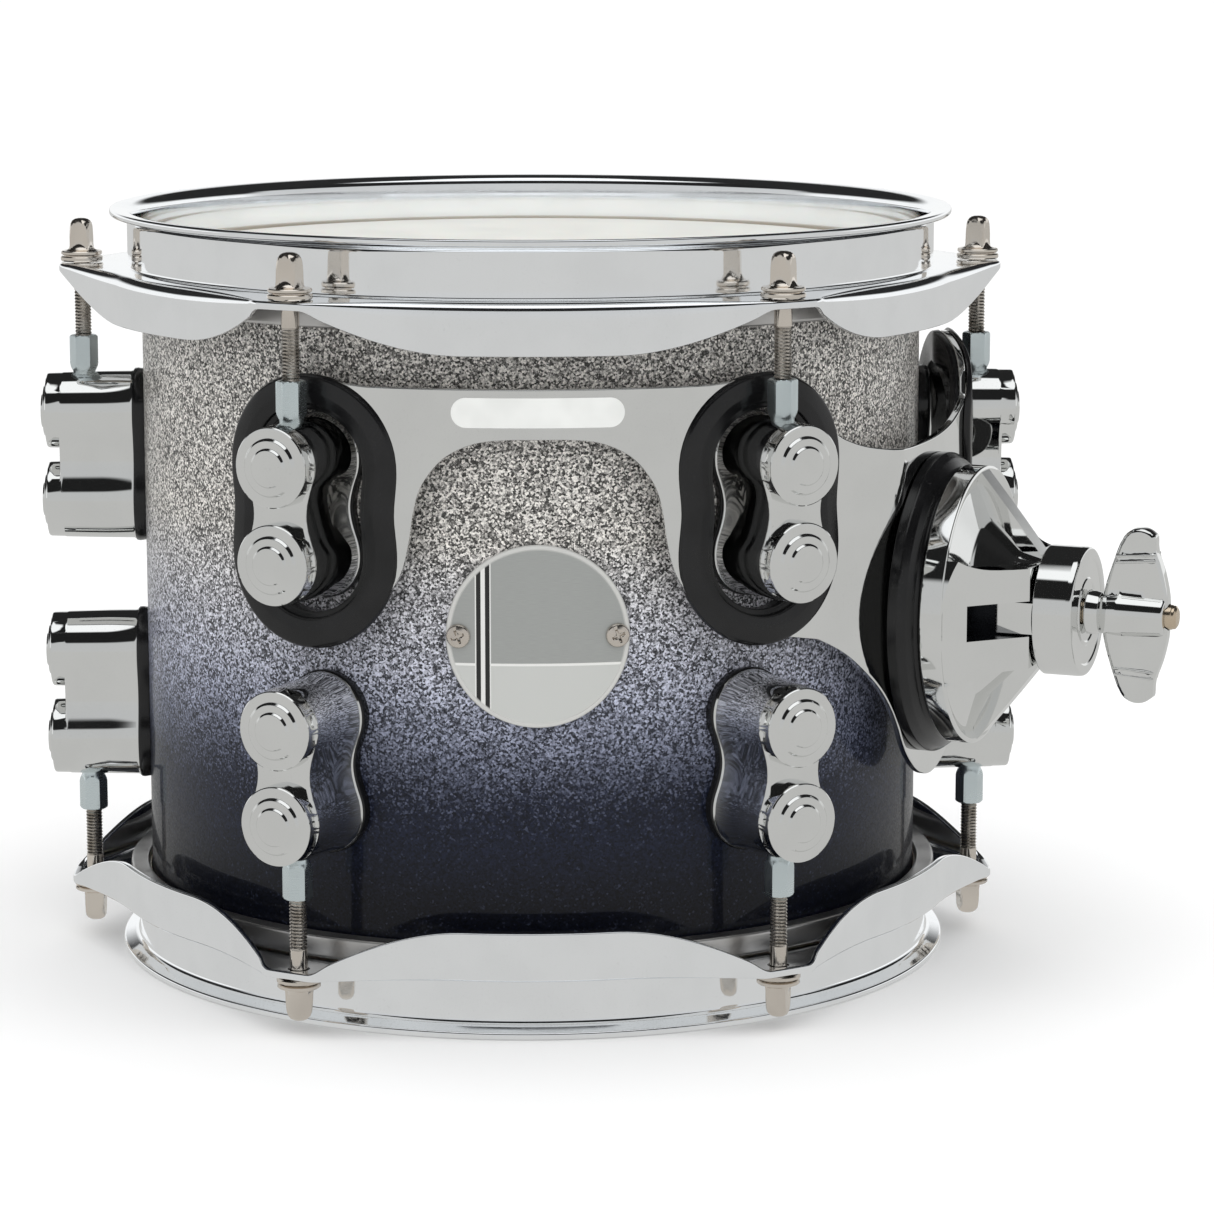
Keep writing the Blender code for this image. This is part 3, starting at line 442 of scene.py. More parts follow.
def drum_film(f, groups):
    """Translucent cream film, a little darker and warmer where the collar turns down."""
    material, tree, shader, place = new_material("drumhead_film")
    grain = use_group(tree, groups["grain"], {"Vector": place, "Scale": 700.0})
    flat = vector_math(tree, "MULTIPLY", place, second=(1.0, 1.0, 0.0))[0]
    reach = vector_math(tree, "LENGTH", flat)["Value"]
    collar = remap(tree, reach, SHELL_RADIUS - 0.004, SHELL_RADIUS - 0.0008)
    warm = mix_colour(tree, collar, rgba(f.film), (0.58, 0.50, 0.40, 1))
    cloudy = mix_colour(tree, grain["Shade"], (0.96, 0.96, 0.96, 1), (1, 1, 1, 1))
    shade = mix_colour(tree, 1.0, warm, cloudy, "MULTIPLY")
    tree.links.new(shade, shader.inputs["Base Color"])
    tree.links.new(calculate(tree, "MULTIPLY_ADD", grain["Shade"], 0.12, 0.34), shader.inputs["Roughness"])
    shader.inputs["Subsurface Weight"].default_value = 0.1
    shader.inputs["Subsurface Scale"].default_value = 0.002
    set_bump(tree, shader, grain["Height"], 0.2, 0.0001)
    return material


def badge_face(f, groups):
    """Brushed badge: a grey upper field, a light lower field, a white line and two black stripes."""
    material, tree, shader, place = new_material("badge_face")
    spot = tree.nodes.new("ShaderNodeUVMap")
    spot.uv_map = "flat"
    across, up = separate_xyz(tree, spot.outputs[0])[:2]
    centred = vector_math(tree, "SUBTRACT", spot.outputs[0], second=(0.5, 0.5, 0.0))[0]
    reach = vector_math(tree, "LENGTH", centred)["Value"]
    grain = noise(tree, stretch(tree, spot.outputs[0], (6.0, 420.0, 1.0)), 3.0, 4.0)
    rub = use_group(tree, groups["rub"], {"Vector": place, "Scale": 300.0})
    upper = mix_colour(tree, remap(tree, grain, 0.3, 0.7), rgba(f.badge), rgba(f.badge, 1.16))
    low_edge = 0.5 - 0.0086 / BADGE_UV
    low = remap(tree, up, low_edge - 0.004, low_edge + 0.004, 1.0, 0.0)
    field = mix_colour(tree, low, upper, (0.56, 0.57, 0.55, 1))
    line = calculate(tree, "COMPARE", up, low_edge, 0.0065)
    field = mix_colour(tree, line, field, (0.80, 0.80, 0.78, 1))
    left = 0.5 - 0.0166 / BADGE_UV
    band = calculate(tree, "COMPARE", across, left, 0.040)
    field = mix_colour(tree, band, field, (0.78, 0.78, 0.76, 1))
    for offset in (-0.0225, 0.0225):
        stripe = calculate(tree, "COMPARE", across, left + offset, 0.0115)
        field = mix_colour(tree, stripe, field, (0.012, 0.012, 0.012, 1))
    rim = remap(tree, reach, 0.436, 0.446)
    field = mix_colour(tree, rim, field, (0.60, 0.60, 0.58, 1))
    tree.links.new(field, shader.inputs["Base Color"])
    shader.inputs["Metallic"].default_value = 0.25
    rough = calculate(tree, "MULTIPLY_ADD", rub["Marks"], 0.15, 0.32)
    tree.links.new(rough, shader.inputs["Roughness"])
    shader.inputs["Coat Weight"].default_value = 0.3
    shader.inputs["Coat Roughness"].default_value = 0.1
    set_bump(tree, shader, grain, 0.05, 0.0001)
    return material


def white_vinyl(groups):
    material, tree, shader, place = new_material("printed_vinyl")
    grain = use_group(tree, groups["grain"], {"Vector": place, "Scale": 1500.0})
    tree.links.new(mix_colour(tree, grain["Shade"], (0.70, 0.71, 0.69, 1), (0.76, 0.77, 0.75, 1)),
                   shader.inputs["Base Color"])
    tree.links.new(calculate(tree, "MULTIPLY_ADD", grain["Shade"], 0.1, 0.3), shader.inputs["Roughness"])
    set_bump(tree, shader, grain["Height"], 0.08, 0.0001)
    return material


def thread_steel(groups):
    """Plated thread, dirty and oily, darker in cloudy patches."""
    material, tree, shader, place = new_material("oiled_thread")
    shader.inputs["Metallic"].default_value = 1.0
    rub = use_group(tree, groups["rub"], {"Vector": place, "Scale": 700.0})
    tree.links.new(mix_colour(tree, rub["Cloud"], (0.62, 0.58, 0.53, 1), (0.40, 0.36, 0.31, 1)),
                   shader.inputs["Base Color"])
    tree.links.new(calculate(tree, "MULTIPLY_ADD", rub["Marks"], 0.15, 0.26), shader.inputs["Roughness"])
    return material


def make_materials(f):
    groups = make_groups()
    return {
        "lacquer": sparkle_lacquer(f, groups),
        "chrome": plated_metal("chrome_plate", groups, f.chrome, 0.035, 0.03, 0.02, 0.97),
        # painted shade: a near-black copy of the chrome for the faces inside the base's slots and arm bores
        "recess": plated_metal("shaded_casting", groups, f.recess, 0.16, 0.10, 0.06, 0.80),
        "hoop": plated_metal("hoop_plate", groups, f.hoop, 0.05, 0.05, 0.03, 0.97),
        "nickel": plated_metal("nickel_plate", groups, f.nickel, 0.13, 0.10, 0.06, 0.88),
        "zinc": plated_metal("zinc_plate", groups, f.zinc, 0.24, 0.12, 0.08, 0.90),
        "aluminium": plated_metal("drawn_aluminium", groups, (0.62, 0.61, 0.60), 0.28, 0.12, 0.08, 0.90),
        "brass": plated_metal("worn_nickel", groups, (0.70, 0.58, 0.44), 0.20, 0.10, 0.08, 0.85),
        "thread": thread_steel(groups),
        "rubber": soft_rubber(f, groups),
        "film": drum_film(f, groups),
        "badge": badge_face(f, groups),
        "vinyl": white_vinyl(groups),
    }


MATERIALS = {}


# ---------------------------------------------------------------- mesh helpers

def add_object(name, mesh):
    obj = bpy.data.objects.new(name, mesh)
    bpy.context.scene.collection.objects.link(obj)
    return obj


def evaluated_mesh(obj):
    depsgraph = bpy.context.evaluated_depsgraph_get()
    depsgraph.update()
    mesh = bpy.data.meshes.new_from_object(obj.evaluated_get(depsgraph))
    obj.modifiers.clear()
    return mesh


def tidy_faces(mesh, smooth_angle=32, merge=0.000002):
    """Merge doubles, point the faces outwards and shade the mesh smooth up to an angle."""
    shape = bmesh.new()
    shape.from_mesh(mesh)
    bmesh.ops.remove_doubles(shape, verts=shape.verts, dist=merge)
    bmesh.ops.dissolve_degenerate(shape, edges=shape.edges, dist=1e-7)
    bmesh.ops.recalc_face_normals(shape, faces=shape.faces)
    if shape.calc_volume(signed=True) < 0:
        bmesh.ops.reverse_faces(shape, faces=shape.faces)
    shape.to_mesh(mesh)
    shape.free()
    mesh.shade_smooth()
    mesh.set_sharp_from_angle(angle=math.radians(smooth_angle))


def weigh_normals(obj):
    weigh = obj.modifiers.new("weigh", "WEIGHTED_NORMAL")
    weigh.keep_sharp = True
    weigh.weight = 60
    obj.data = evaluated_mesh(obj)
    return obj


def from_rows(name, rows, closed_rows=False, closed_columns=True, caps=False, smooth_angle=32):
    """A mesh from rows of points, each row joined to the next; closed_columns joins each row's ends."""
    rows = np.asarray(rows, float)
    row_count, column_count = rows.shape[:2]
    faces = []
    for i in range(row_count if closed_rows else row_count - 1):
        after = (i + 1) % row_count
        for j in range(column_count if closed_columns else column_count - 1):
            beside = (j + 1) % column_count
            faces.append((i * column_count + j, i * column_count + beside,
                          after * column_count + beside, after * column_count + j))
    if caps:
        faces.append(tuple(reversed(range(column_count))))
        faces.append(tuple(range((row_count - 1) * column_count, row_count * column_count)))
    mesh = bpy.data.meshes.new(name)
    mesh.from_pydata(rows.reshape(-1, 3).tolist(), [], faces)
    tidy_faces(mesh, smooth_angle)
    return add_object(name, mesh)


def lathe(name, profile, steps=96, closed=False, smooth_angle=32):
    """Turn a profile of (radius, height) points about Z."""
    angles = np.arange(steps) * math.tau / steps
    rows = [[(r * math.cos(a), r * math.sin(a), z) for a in angles] for r, z in profile]
    return from_rows(name, rows, closed_rows=closed, smooth_angle=smooth_angle)


def rounded(corners, steps=5, closed=False):
    """Replace each (x, y, radius) corner by a short curve; open ends stay as they are."""
    count = len(corners)
    points = []
    for i, (x, y, radius) in enumerate(corners):
        if radius == 0 or (not closed and i in (0, count - 1)):
            points.append((x, y))
            continue
        here = Vector((x, y))
        before = Vector(corners[i - 1][:2]) - here
        after = Vector(corners[(i + 1) % count][:2]) - here
        turn = before.angle(after, math.pi)
        reach = radius / max(0.05, math.tan(turn / 2))
        first = here + before.normalized() * min(reach, before.length * 0.48)
        last = here + after.normalized() * min(reach, after.length * 0.48)
        for k in range(steps + 1):
            t = k / steps
            spot = first * (1 - t) ** 2 + here * (2 * t * (1 - t)) + last * t ** 2
            points.append((spot.x, spot.y))
    return points


def arc(centre, radius, first, last, step=6):
    count = max(1, round(abs(last - first) / step))
    angles = [math.radians(first + (last - first) * i / count) for i in range(count + 1)]
    return [(centre[0] + radius * math.cos(a), centre[1] + radius * math.sin(a)) for a in angles]


def peanut(radius, centres, waist, start, step=6):
    """A tall outline of two round lobes, drawn in to a waist by smooth curves, anticlockwise."""
    upper = arc((0, centres), radius, start, 180 - start, step)
    lower = arc((0, -centres), radius, 180 + start, 360 - start, step)

    def draw_in(end, side):
        heading = math.radians(180 - start if side < 0 else -start)
        down = -1 if side < 0 else 1
        slope = Vector((-math.sin(heading), math.cos(heading)))
        reach = abs(end[1])
        points = []
        for k in range(1, 6):
            t = k / 6
            hermite = (2 * t ** 3 - 3 * t ** 2 + 1, t ** 3 - 2 * t ** 2 + t,
                       3 * t ** 2 - 2 * t ** 3, t ** 3 - t ** 2)
            x = hermite[0] * end[0] + hermite[1] * slope.x * reach + hermite[2] * side * waist
            y = hermite[0] * end[1] + hermite[1] * slope.y * reach + hermite[3] * down * reach
            points.append((x, y))
        return points

    left = draw_in(upper[-1], -1)
    left += [(-waist, 0)] + [(x, -y) for x, y in reversed(left)]
    right = [(-x, -y) for x, y in left]
    return upper + left + lower + right


def smooth_run(points, spans=4):
    """Points on a smooth run through the given ones, each stretch cut into spans."""
    padded = [points[0]] + list(points) + [points[-1]]
    run = []
    for i in range(1, len(padded) - 2):
        before, start, end, after = (Vector(padded[i + k]) for k in (-1, 0, 1, 2))
        for step in range(spans):
            t = step / spans
            curve = start * 2 + (end - before) * t + (before * 2 - start * 5 + end * 4 - after) * t ** 2
            curve += (start * 3 - before - end * 3 + after) * t ** 3
            run.append(tuple(curve / 2))
    run.append(tuple(points[-1]))
    return run


def outward_normals(outline):
    """Unit normals of a closed anticlockwise outline, pointing out of it."""
    points = np.asarray(outline, float)
    ahead = np.roll(points, -1, 0) - points
    ahead /= np.linalg.norm(ahead, axis=1)[:, None]
    both = ahead + np.roll(ahead, 1, 0)
    both /= np.linalg.norm(both, axis=1)[:, None]
    return np.stack([both[:, 1], -both[:, 0]], 1)


def is_inside(points, outline):
    """Which of the points lie inside a closed outline."""
    x, y = points[:, 0], points[:, 1]
    inside = np.zeros(len(points), bool)
    outline = np.asarray(outline, float)
    for (x1, y1), (x2, y2) in zip(outline, np.roll(outline, -1, 0)):
        if y1 == y2:
            continue
        crosses = ((y1 > y) != (y2 > y)) & (x < (x2 - x1) * (y - y1) / (y2 - y1) + x1)
        inside ^= crosses
    return inside


def slab(name, outlines, half_thickness, edge, spacing, bend=None, smooth_angle=40, flat_uv=None):
    """A flat slab with holes and rounded edges. bend(points) may then wrap it; outlines[0] is the rim."""
    outlines = [np.asarray(outline, float) for outline in outlines]
    insets = []
    for index, outline in enumerate(outlines):
        normals = outward_normals(outline)
        insets.append(outline - normals * edge * (1 if index == 0 else -1))
    fixed = np.concatenate(insets)
    edges = []
    start = 0
    for inset in insets:
        count = len(inset)
        edges += [(start + i, start + (i + 1) % count) for i in range(count)]
        start += count
    low, high = fixed.min(0), fixed.max(0)
    across, up = np.meshgrid(np.arange(low[0], high[0], spacing), np.arange(low[1], high[1], spacing))
    across[::2] += spacing / 2
    grid = np.stack([across.ravel(), up.ravel()], 1)
    inner = outlines[0] - outward_normals(outlines[0]) * (edge + spacing * 0.5)
    keep = is_inside(grid, inner)
    for outline in outlines[1:]:
        keep &= ~is_inside(grid, outline + outward_normals(outline) * (edge + spacing * 0.5))
    points = np.concatenate([fixed, grid[keep]])
    found = delaunay_2d_cdt([Vector(p) for p in points], edges, [], 0, 1e-7)
    flat = np.array([tuple(v) for v in found[0]])
    middles = np.array([flat[list(face)].mean(0) for face in found[2]])
    wanted = is_inside(middles, insets[0])
    for inset in insets[1:]:
        wanted &= ~is_inside(middles, inset)
    triangles = [tuple(face) for face, good in zip(found[2], wanted) if good]
    verts = [(x, y, half_thickness) for x, y in flat] + [(x, y, -half_thickness) for x, y in flat]
    faces = triangles + [tuple(i + len(flat) for i in reversed(face)) for face in triangles]
    for index, outline in enumerate(outlines):
        normals = outward_normals(outline) * (1 if index == 0 else -1)
        rows = []
        for share in (0.0, 0.3, 0.7, 1.0):
            angle = share * math.pi / 2
            ring = outline - normals * edge * (1 - math.sin(angle))
            rows.append((ring, half_thickness - edge * (1 - math.cos(angle))))
        rows += [(ring, -height) for ring, height in reversed(rows)]
        count = len(outline)
        base = len(verts)
        for ring, height in rows:
            verts += [(x, y, height) for x, y in ring]
        for i in range(len(rows) - 1):
            for j in range(count):
                beside = (j + 1) % count
                faces.append((base + i * count + j, base + i * count + beside,
                              base + (i + 1) * count + beside, base + (i + 1) * count + j))
    mesh = bpy.data.meshes.new(name)
    verts = np.array(verts)
    placed = bend(verts) if bend else verts
    mesh.from_pydata(placed.tolist(), [], faces)
    if flat_uv:
        layer = mesh.uv_layers.new(name="flat")
        index = np.empty(len(mesh.loops), np.int32)
        mesh.loops.foreach_get("vertex_index", index)
        layer.uv.foreach_set("vector", (verts[index, :2] / flat_uv + 0.5).astype(np.float32).ravel())
    tidy_faces(mesh, smooth_angle, merge=0.000001)
    return weigh_normals(add_object(name, mesh))


def combine(obj, tool, operation):
    """Apply a Boolean with the tool and remove the tool."""
    cut = obj.modifiers.new("cut", "BOOLEAN")
    cut.operation = operation
    cut.solver = "MANIFOLD"
    cut.object = tool
    obj.data = evaluated_mesh(obj)
    bpy.data.objects.remove(tool, do_unlink=True)
    return obj


def finish_shape(obj, bevel=0.0, segments=2, smooth_angle=32, weigh=True):
    """Soften the sharp edges of a combined shape and shade it."""
    tidy_faces(obj.data, smooth_angle)
    if bevel:
        soften = obj.modifiers.new("soften", "BEVEL")
        soften.width = bevel
        soften.segments = segments
        soften.limit_method = "ANGLE"
        soften.angle_limit = math.radians(30)
        soften.use_clamp_overlap = True
        obj.data = evaluated_mesh(obj)
        tidy_faces(obj.data, smooth_angle)
    return weigh_normals(obj) if weigh else obj


def outside(azimuth, height, distance=0.0):
    """The place of a flat frame (x sideways, y up, z outward) that stands on the drum at an azimuth."""
    angle = math.radians(azimuth)
    spot = Vector((distance * math.sin(angle), -distance * math.cos(angle), MID + height))
    return Matrix.Translation(spot) @ Matrix.Rotation(angle, 4, "Z") @ Matrix.Rotation(math.pi / 2, 4, "X")


def finish(obj, material, body, slot, *nodes):
    """Give a finished mesh its material, hide the CAD parts it stands for, and hang it under the empty of the
    body it rides on.
    """
    if material:
        obj.data.materials.clear()
        obj.data.materials.append(MATERIALS[material])
    obj.data.name = obj.name
    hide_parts(*nodes)
    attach(obj, body)
    return obj


# ---------------------------------------------------------------- geometry node trees

GEOMETRY, MATERIAL = "NodeSocketGeometry", "NodeSocketMaterial"
OBJECT, INT = "NodeSocketObject", "NodeSocketInt"
ROWS_PER_TURN = 8.0


def new_tree(name, inputs):
    tree, given, result = new_group(name, "GeometryNodeTree", inputs, [("Geometry", GEOMETRY)])
    tree.is_modifier = True
    return tree, given, result[0]


def grow(name, tree, values, smooth_angle=32):
    """Run a tree once with its named inputs and keep the result as a plain mesh object."""
    obj = add_object(name, bpy.data.meshes.new(name))
    modifier = obj.modifiers.new(tree.name, "NODES")
    modifier.node_group = tree
    for item in tree.interface.items_tree:
        if item.item_type == "SOCKET" and item.in_out == "INPUT" and item.name in values:
            modifier[item.identifier] = values[item.name]
    obj.update_tag()
    obj.data = evaluated_mesh(obj)
    obj.data.shade_smooth()
    obj.data.set_sharp_from_angle(angle=math.radians(smooth_angle))
    return obj


def moved(tree, geometry, **inputs):
    return add_node(tree, "GeometryNodeTransform", {"Geometry": geometry, **inputs}).outputs[0]


def made_real(tree, geometry):
    return add_node(tree, "GeometryNodeRealizeInstances", {"Geometry": geometry}).outputs[0]


def coated(tree, geometry, material, **more):
    inputs = {"Geometry": geometry, "Material": material, **more}
    return add_node(tree, "GeometryNodeSetMaterial", inputs).outputs[0]


def copied_part(tree, part):
    info = add_node(tree, "GeometryNodeObjectInfo", {"Object": part}, transform_space="ORIGINAL")
    return info.outputs["Geometry"]


def shell_tree():
    """A turned shell: its cut section, chamfered at the bearing edges, swept round a circle."""
    tree, given, result = new_tree("turned_shell", [
        ("Radius", FLOAT, 0.127), ("Wall", FLOAT, 0.0055), ("Depth", FLOAT, 0.2), ("Chamfer", FLOAT, 0.002),
        ("Height", FLOAT, 0.0), ("Steps", INT, 96), ("Finish", MATERIAL, None)])
    half_wall = calculate(tree, "MULTIPLY", given["Wall"], 0.5)
    middle = calculate(tree, "SUBTRACT", given["Radius"], half_wall)
    path = add_node(tree, "GeometryNodeCurvePrimitiveCircle",
                    {"Resolution": given["Steps"], "Radius": middle})
    section = add_node(tree, "GeometryNodeCurvePrimitiveQuadrilateral",
                       {"Width": given["Wall"], "Height": given["Depth"]})
    cut = add_node(tree, "GeometryNodeFilletCurve", {
        "Curve": section.outputs[0], "Count": 1, "Limit Radius": True,
        "Radius": given["Chamfer"]}, mode="POLY")
    swept = add_node(tree, "GeometryNodeCurveToMesh",
                     {"Curve": path.outputs[0], "Profile Curve": cut.outputs[0]}).outputs[0]
    raised = moved(tree, swept, Translation=combine_xyz(tree, Z=given["Height"]))
    tree.links.new(coated(tree, made_real(tree, raised), given["Finish"]), result)
    return tree


def ring_tree():
    """Copies of a part round the drum's axis. A flipped ring is its mirror partner below the mid-plane."""
    tree, given, result = new_tree("ring_of_parts", [
        ("Part", OBJECT, None), ("Count", INT, 6), ("First Azimuth", FLOAT, 0.0),
        ("Azimuth Step", FLOAT, 60.0), ("Middle Height", FLOAT, 0.0), ("Flip", FLOAT, 0.0),
        ("Finish", MATERIAL, None)])
    place = combine_xyz(tree, Z=given["Middle Height"])
    spots = add_node(tree, "GeometryNodePoints", {"Count": given["Count"], "Position": place}).outputs[0]
    index = tree.nodes.new("GeometryNodeInputIndex").outputs[0]
    azimuth = calculate(tree, "MULTIPLY_ADD", index, given["Azimuth Step"], given["First Azimuth"])
    turn = calculate(tree, "RADIANS", azimuth)
    over = calculate(tree, "MULTIPLY", given["Flip"], math.pi)
    copies = add_node(tree, "GeometryNodeInstanceOnPoints", {
        "Points": spots, "Instance": copied_part(tree, given["Part"]),
        "Rotation": combine_xyz(tree, Y=over, Z=turn)}).outputs[0]
    tree.links.new(coated(tree, made_real(tree, copies), given["Finish"]), result)
    return tree


def rod_tree():
    """A tension rod: a forged head and washer over a shaft with a smooth neck and a rolled thread."""
    tree, given, result = new_tree("tension_rod", [
        ("Head", OBJECT, None), ("Radius", FLOAT, 0.00275), ("Length", FLOAT, 0.035),
        ("Neck", FLOAT, 0.008), ("Pitch", FLOAT, 0.001), ("Depth", FLOAT, 0.0003),
        ("Azimuth", FLOAT, 0.0), ("Distance", FLOAT, 0.1466), ("Seat Height", FLOAT, 0.1),
        ("Middle Height", FLOAT, 0.0), ("Flip", FLOAT, 0.0), ("Turn", FLOAT, 0.0),
        ("Head Finish", MATERIAL, None), ("Thread Finish", MATERIAL, None)])
    rows = calculate(tree, "MULTIPLY", given["Length"], ROWS_PER_TURN)
    rows = calculate(tree, "CEIL", calculate(tree, "DIVIDE", rows, given["Pitch"]))
    rod = add_node(tree, "GeometryNodeMeshCylinder", {
        "Vertices": 20, "Side Segments": rows, "Radius": given["Radius"],
        "Depth": given["Length"]}).outputs[0]
    half = calculate(tree, "MULTIPLY", given["Length"], -0.5)
    hung = moved(tree, rod, Translation=combine_xyz(tree, Z=half))
    spot = tree.nodes.new("GeometryNodeInputPosition").outputs[0]
    x, y, z = separate_xyz(tree, spot)
    angle = calculate(tree, "DIVIDE", calculate(tree, "ARCTAN2", y, x), math.tau)
    turns = calculate(tree, "ADD", calculate(tree, "DIVIDE", z, given["Pitch"]), angle)
    groove = calculate(tree, "MULTIPLY", calculate(tree, "PINGPONG", turns, 0.5), 2.0)
    start = calculate(tree, "MULTIPLY", given["Neck"], -1.0)
    run_in = calculate(tree, "SUBTRACT", start, 0.0008)
    begun = remap(tree, z, start, run_in, smooth=False)
    cut = calculate(tree, "MULTIPLY", calculate(tree, "MULTIPLY", groove, begun), given["Depth"])
    flat = vector_math(tree, "MULTIPLY", spot, second=(-1.0, -1.0, 0.0))[0]
    inward = vector_math(tree, "NORMALIZE", flat)[0]
    offset = vector_math(tree, "SCALE", inward, Scale=cut)[0]
    threaded = add_node(tree, "GeometryNodeSetPosition", {"Geometry": hung, "Offset": offset}).outputs[0]
    on_thread = calculate(tree, "LESS_THAN", z, start)
    plain = coated(tree, threaded, given["Head Finish"])
    oiled = coated(tree, plain, given["Thread Finish"], Selection=on_thread)
    twist = combine_xyz(tree, Z=given["Turn"])
    plated = coated(tree, moved(tree, copied_part(tree, given["Head"]), Rotation=twist), given["Head Finish"])
    joined = tree.nodes.new("GeometryNodeJoinGeometry")
    for part in (plated, oiled):
        tree.links.new(part, joined.inputs[0])
    out = calculate(tree, "MULTIPLY", given["Distance"], -1.0)
    seated = moved(tree, joined.outputs[0], Translation=combine_xyz(tree, Y=out, Z=given["Seat Height"]))
    over = calculate(tree, "MULTIPLY", given["Flip"], math.pi)
    placed = moved(tree, seated, Translation=combine_xyz(tree, Z=given["Middle Height"]),
                   Rotation=combine_xyz(tree, Y=over, Z=calculate(tree, "RADIANS", given["Azimuth"])))
    tree.links.new(made_real(tree, placed), result)
    return tree


# ---------------------------------------------------------------- shell, heads and hoops

def make_shell(s):
    shell = grow("drum_shell", shell_tree(), {
        "Radius": s.shell_radius, "Wall": s.shell_wall, "Depth": s.shell_depth, "Chamfer": s.bearing_edge,
        "Height": MID, "Steps": RING_STEPS, "Finish": MATERIALS["lacquer"]})
    tidy_faces(shell.data)
    finish(shell, None, "drum", "sparkle_lacquer", "shell")


def make_heads(s):
    half = s.shell_depth / 2
    inner = s.shell_radius + 0.0004
    outer = inner + s.film
    top = half + CLEAR + s.film
    crest = s.shell_radius - s.bearing_edge
    tail = half - s.collar_depth
    outline = [(0, top, 0), (crest + s.film * 0.5, top, 0.002), (outer, top - 0.0026, 0.0015),
               (outer, tail, 0), (inner, tail, 0), (inner, top - 0.0034, 0.001),
               (crest, top - s.film, 0.001), (0, top - s.film, 0)]
    flesh_top = RIM_TOP - s.hoop_height - s.sheet - CLEAR
    flesh_inner = outer + CLEAR
    ring = [(flesh_inner, flesh_top, 0.0009), (s.flesh_radius, flesh_top, 0.0012),
            (s.flesh_radius, flesh_top - 0.0072, 0.0012), (flesh_inner, flesh_top - 0.0072, 0.0009)]
    for name, flip in (("batter", 0), ("resonant", math.pi)):
        place = Matrix.Translation((0, 0, MID)) @ Matrix.Rotation(flip, 4, "X")
        film = lathe(name + "_drumhead", rounded(outline, 4), RING_STEPS, smooth_angle=60)
        film.data.transform(place)
        finish(film, "film", "drum", "head_film", name + "_head")
        flesh = lathe(name + "_flesh_ring", rounded(ring, 4, closed=True), RING_STEPS, closed=True)
        flesh.data.transform(place)
        finish(flesh, "aluminium", "drum", "aluminium", name + "_flesh_hoop")


def ease(share):
    share = min(1.0, max(0.0, share))
    return share * share * (3 - 2 * share)


def hoop_section(s, offset):
    """Rounded cross-section of the upper hoop at an arc distance from the nearest ear's middle."""
    along = min(1.0, max(0.0, (offset - s.ear_half_width) / s.ear_blend))
    full = along * (2 - along) * ease(0.25 + along / 0.16)
    step = RIM_TOP - s.hoop_height
    under = step - s.sheet
    reach = s.ear_reach + (s.skirt_radius - s.ear_reach) * full
    hem = under - 0.0005 - (s.skirt_drop - s.sheet - 0.0005) * full
    inner = s.wall_radius - s.sheet
    lip = s.wall_radius + s.lip
    edge = 0.0010 + 0.0026 * full
    corners = [(lip, RIM_TOP, 0.0011), (lip, RIM_TOP - 0.0021, 0.0010),
               (s.wall_radius, RIM_TOP - 0.0036, 0.0024), (s.wall_radius, step, 0.0011),
               (reach, step, edge), (reach, hem, 0.0006),
               (reach - s.sheet, hem, 0.0006), (reach - s.sheet, under, 0.0014), (inner, under, 0.0007),
               (inner, RIM_TOP - 0.0007, 0.0040)]
    return rounded(corners, 5, closed=True)


EAR_HOLE = 0.0034
# The hoop's sections stand close together by an ear and wider apart along the skirt (degrees)
EAR_STEP = 0.4
SKIRT_STEP = 1.0


def make_hoops(s, h):
    azimuths = []
    for index in range(LUG_COUNT):
        ear = FIRST_LUG + index * LUG_STEP
        azimuths += [ear + k * EAR_STEP for k in range(-30, 31)]
        azimuths += [ear + LUG_STEP / 2 + k * SKIRT_STEP for k in range(-17, 18)]
    azimuths.sort()
    rows = []
    for azimuth in azimuths:
        angle = math.radians(azimuth)
        nearest = abs((azimuth - FIRST_LUG + LUG_STEP / 2) % LUG_STEP - LUG_STEP / 2)
        section = hoop_section(s, math.radians(nearest) * h.rod_circle)
        rows.append([(r * math.sin(angle), -r * math.cos(angle), z) for r, z in section])
    hoop = from_rows("batter_counterhoop", rows, closed_rows=True, smooth_angle=40)
    holes = bmesh.new()
    for index in range(LUG_COUNT):
        angle = math.radians(FIRST_LUG + index * LUG_STEP)
        spot = (h.rod_circle * math.sin(angle), -h.rod_circle * math.cos(angle), RIM_TOP - s.hoop_height)
        bmesh.ops.create_cone(holes, cap_ends=True, segments=32, radius1=EAR_HOLE, radius2=EAR_HOLE,
                              depth=0.01, matrix=Matrix.Translation(spot))
    mesh = bpy.data.meshes.new("rod_holes")
    holes.to_mesh(mesh)
    holes.free()
    combine(hoop, add_object("rod_holes", mesh), "DIFFERENCE")
    tidy_faces(hoop.data, 40)
    lower = add_object("resonant_counterhoop", hoop.data.copy())
    hoop.data.transform(Matrix.Translation((0, 0, MID)))
    lower.data.transform(Matrix.Translation((0, 0, MID)) @ Matrix.Rotation(math.pi, 4, "X"))
    finish(hoop, "hoop", "drum", "chrome", "batter_hoop")
    finish(lower, "hoop", "drum", "chrome", "resonant_hoop")


# ---------------------------------------------------------------- lugs, nuts and rods

def seat_on_shell(obj, seat_radius, under):
    """Press the points of a flat-frame piece that lie below a distance down onto the shell's curve."""
    for vert in obj.data.vertices:
        if vert.co.z <= under:
            vert.co.z = math.sqrt(seat_radius ** 2 - vert.co.x ** 2)


def peanut_rows(h, levels):
    rows = []
    for distance, grow_by in levels:
        outline = peanut(h.casing_radius + grow_by, h.turret_spacing / 2, h.casing_waist + grow_by, -22)
        rows.append([(x, y, distance) for x, y in outline])
    return rows


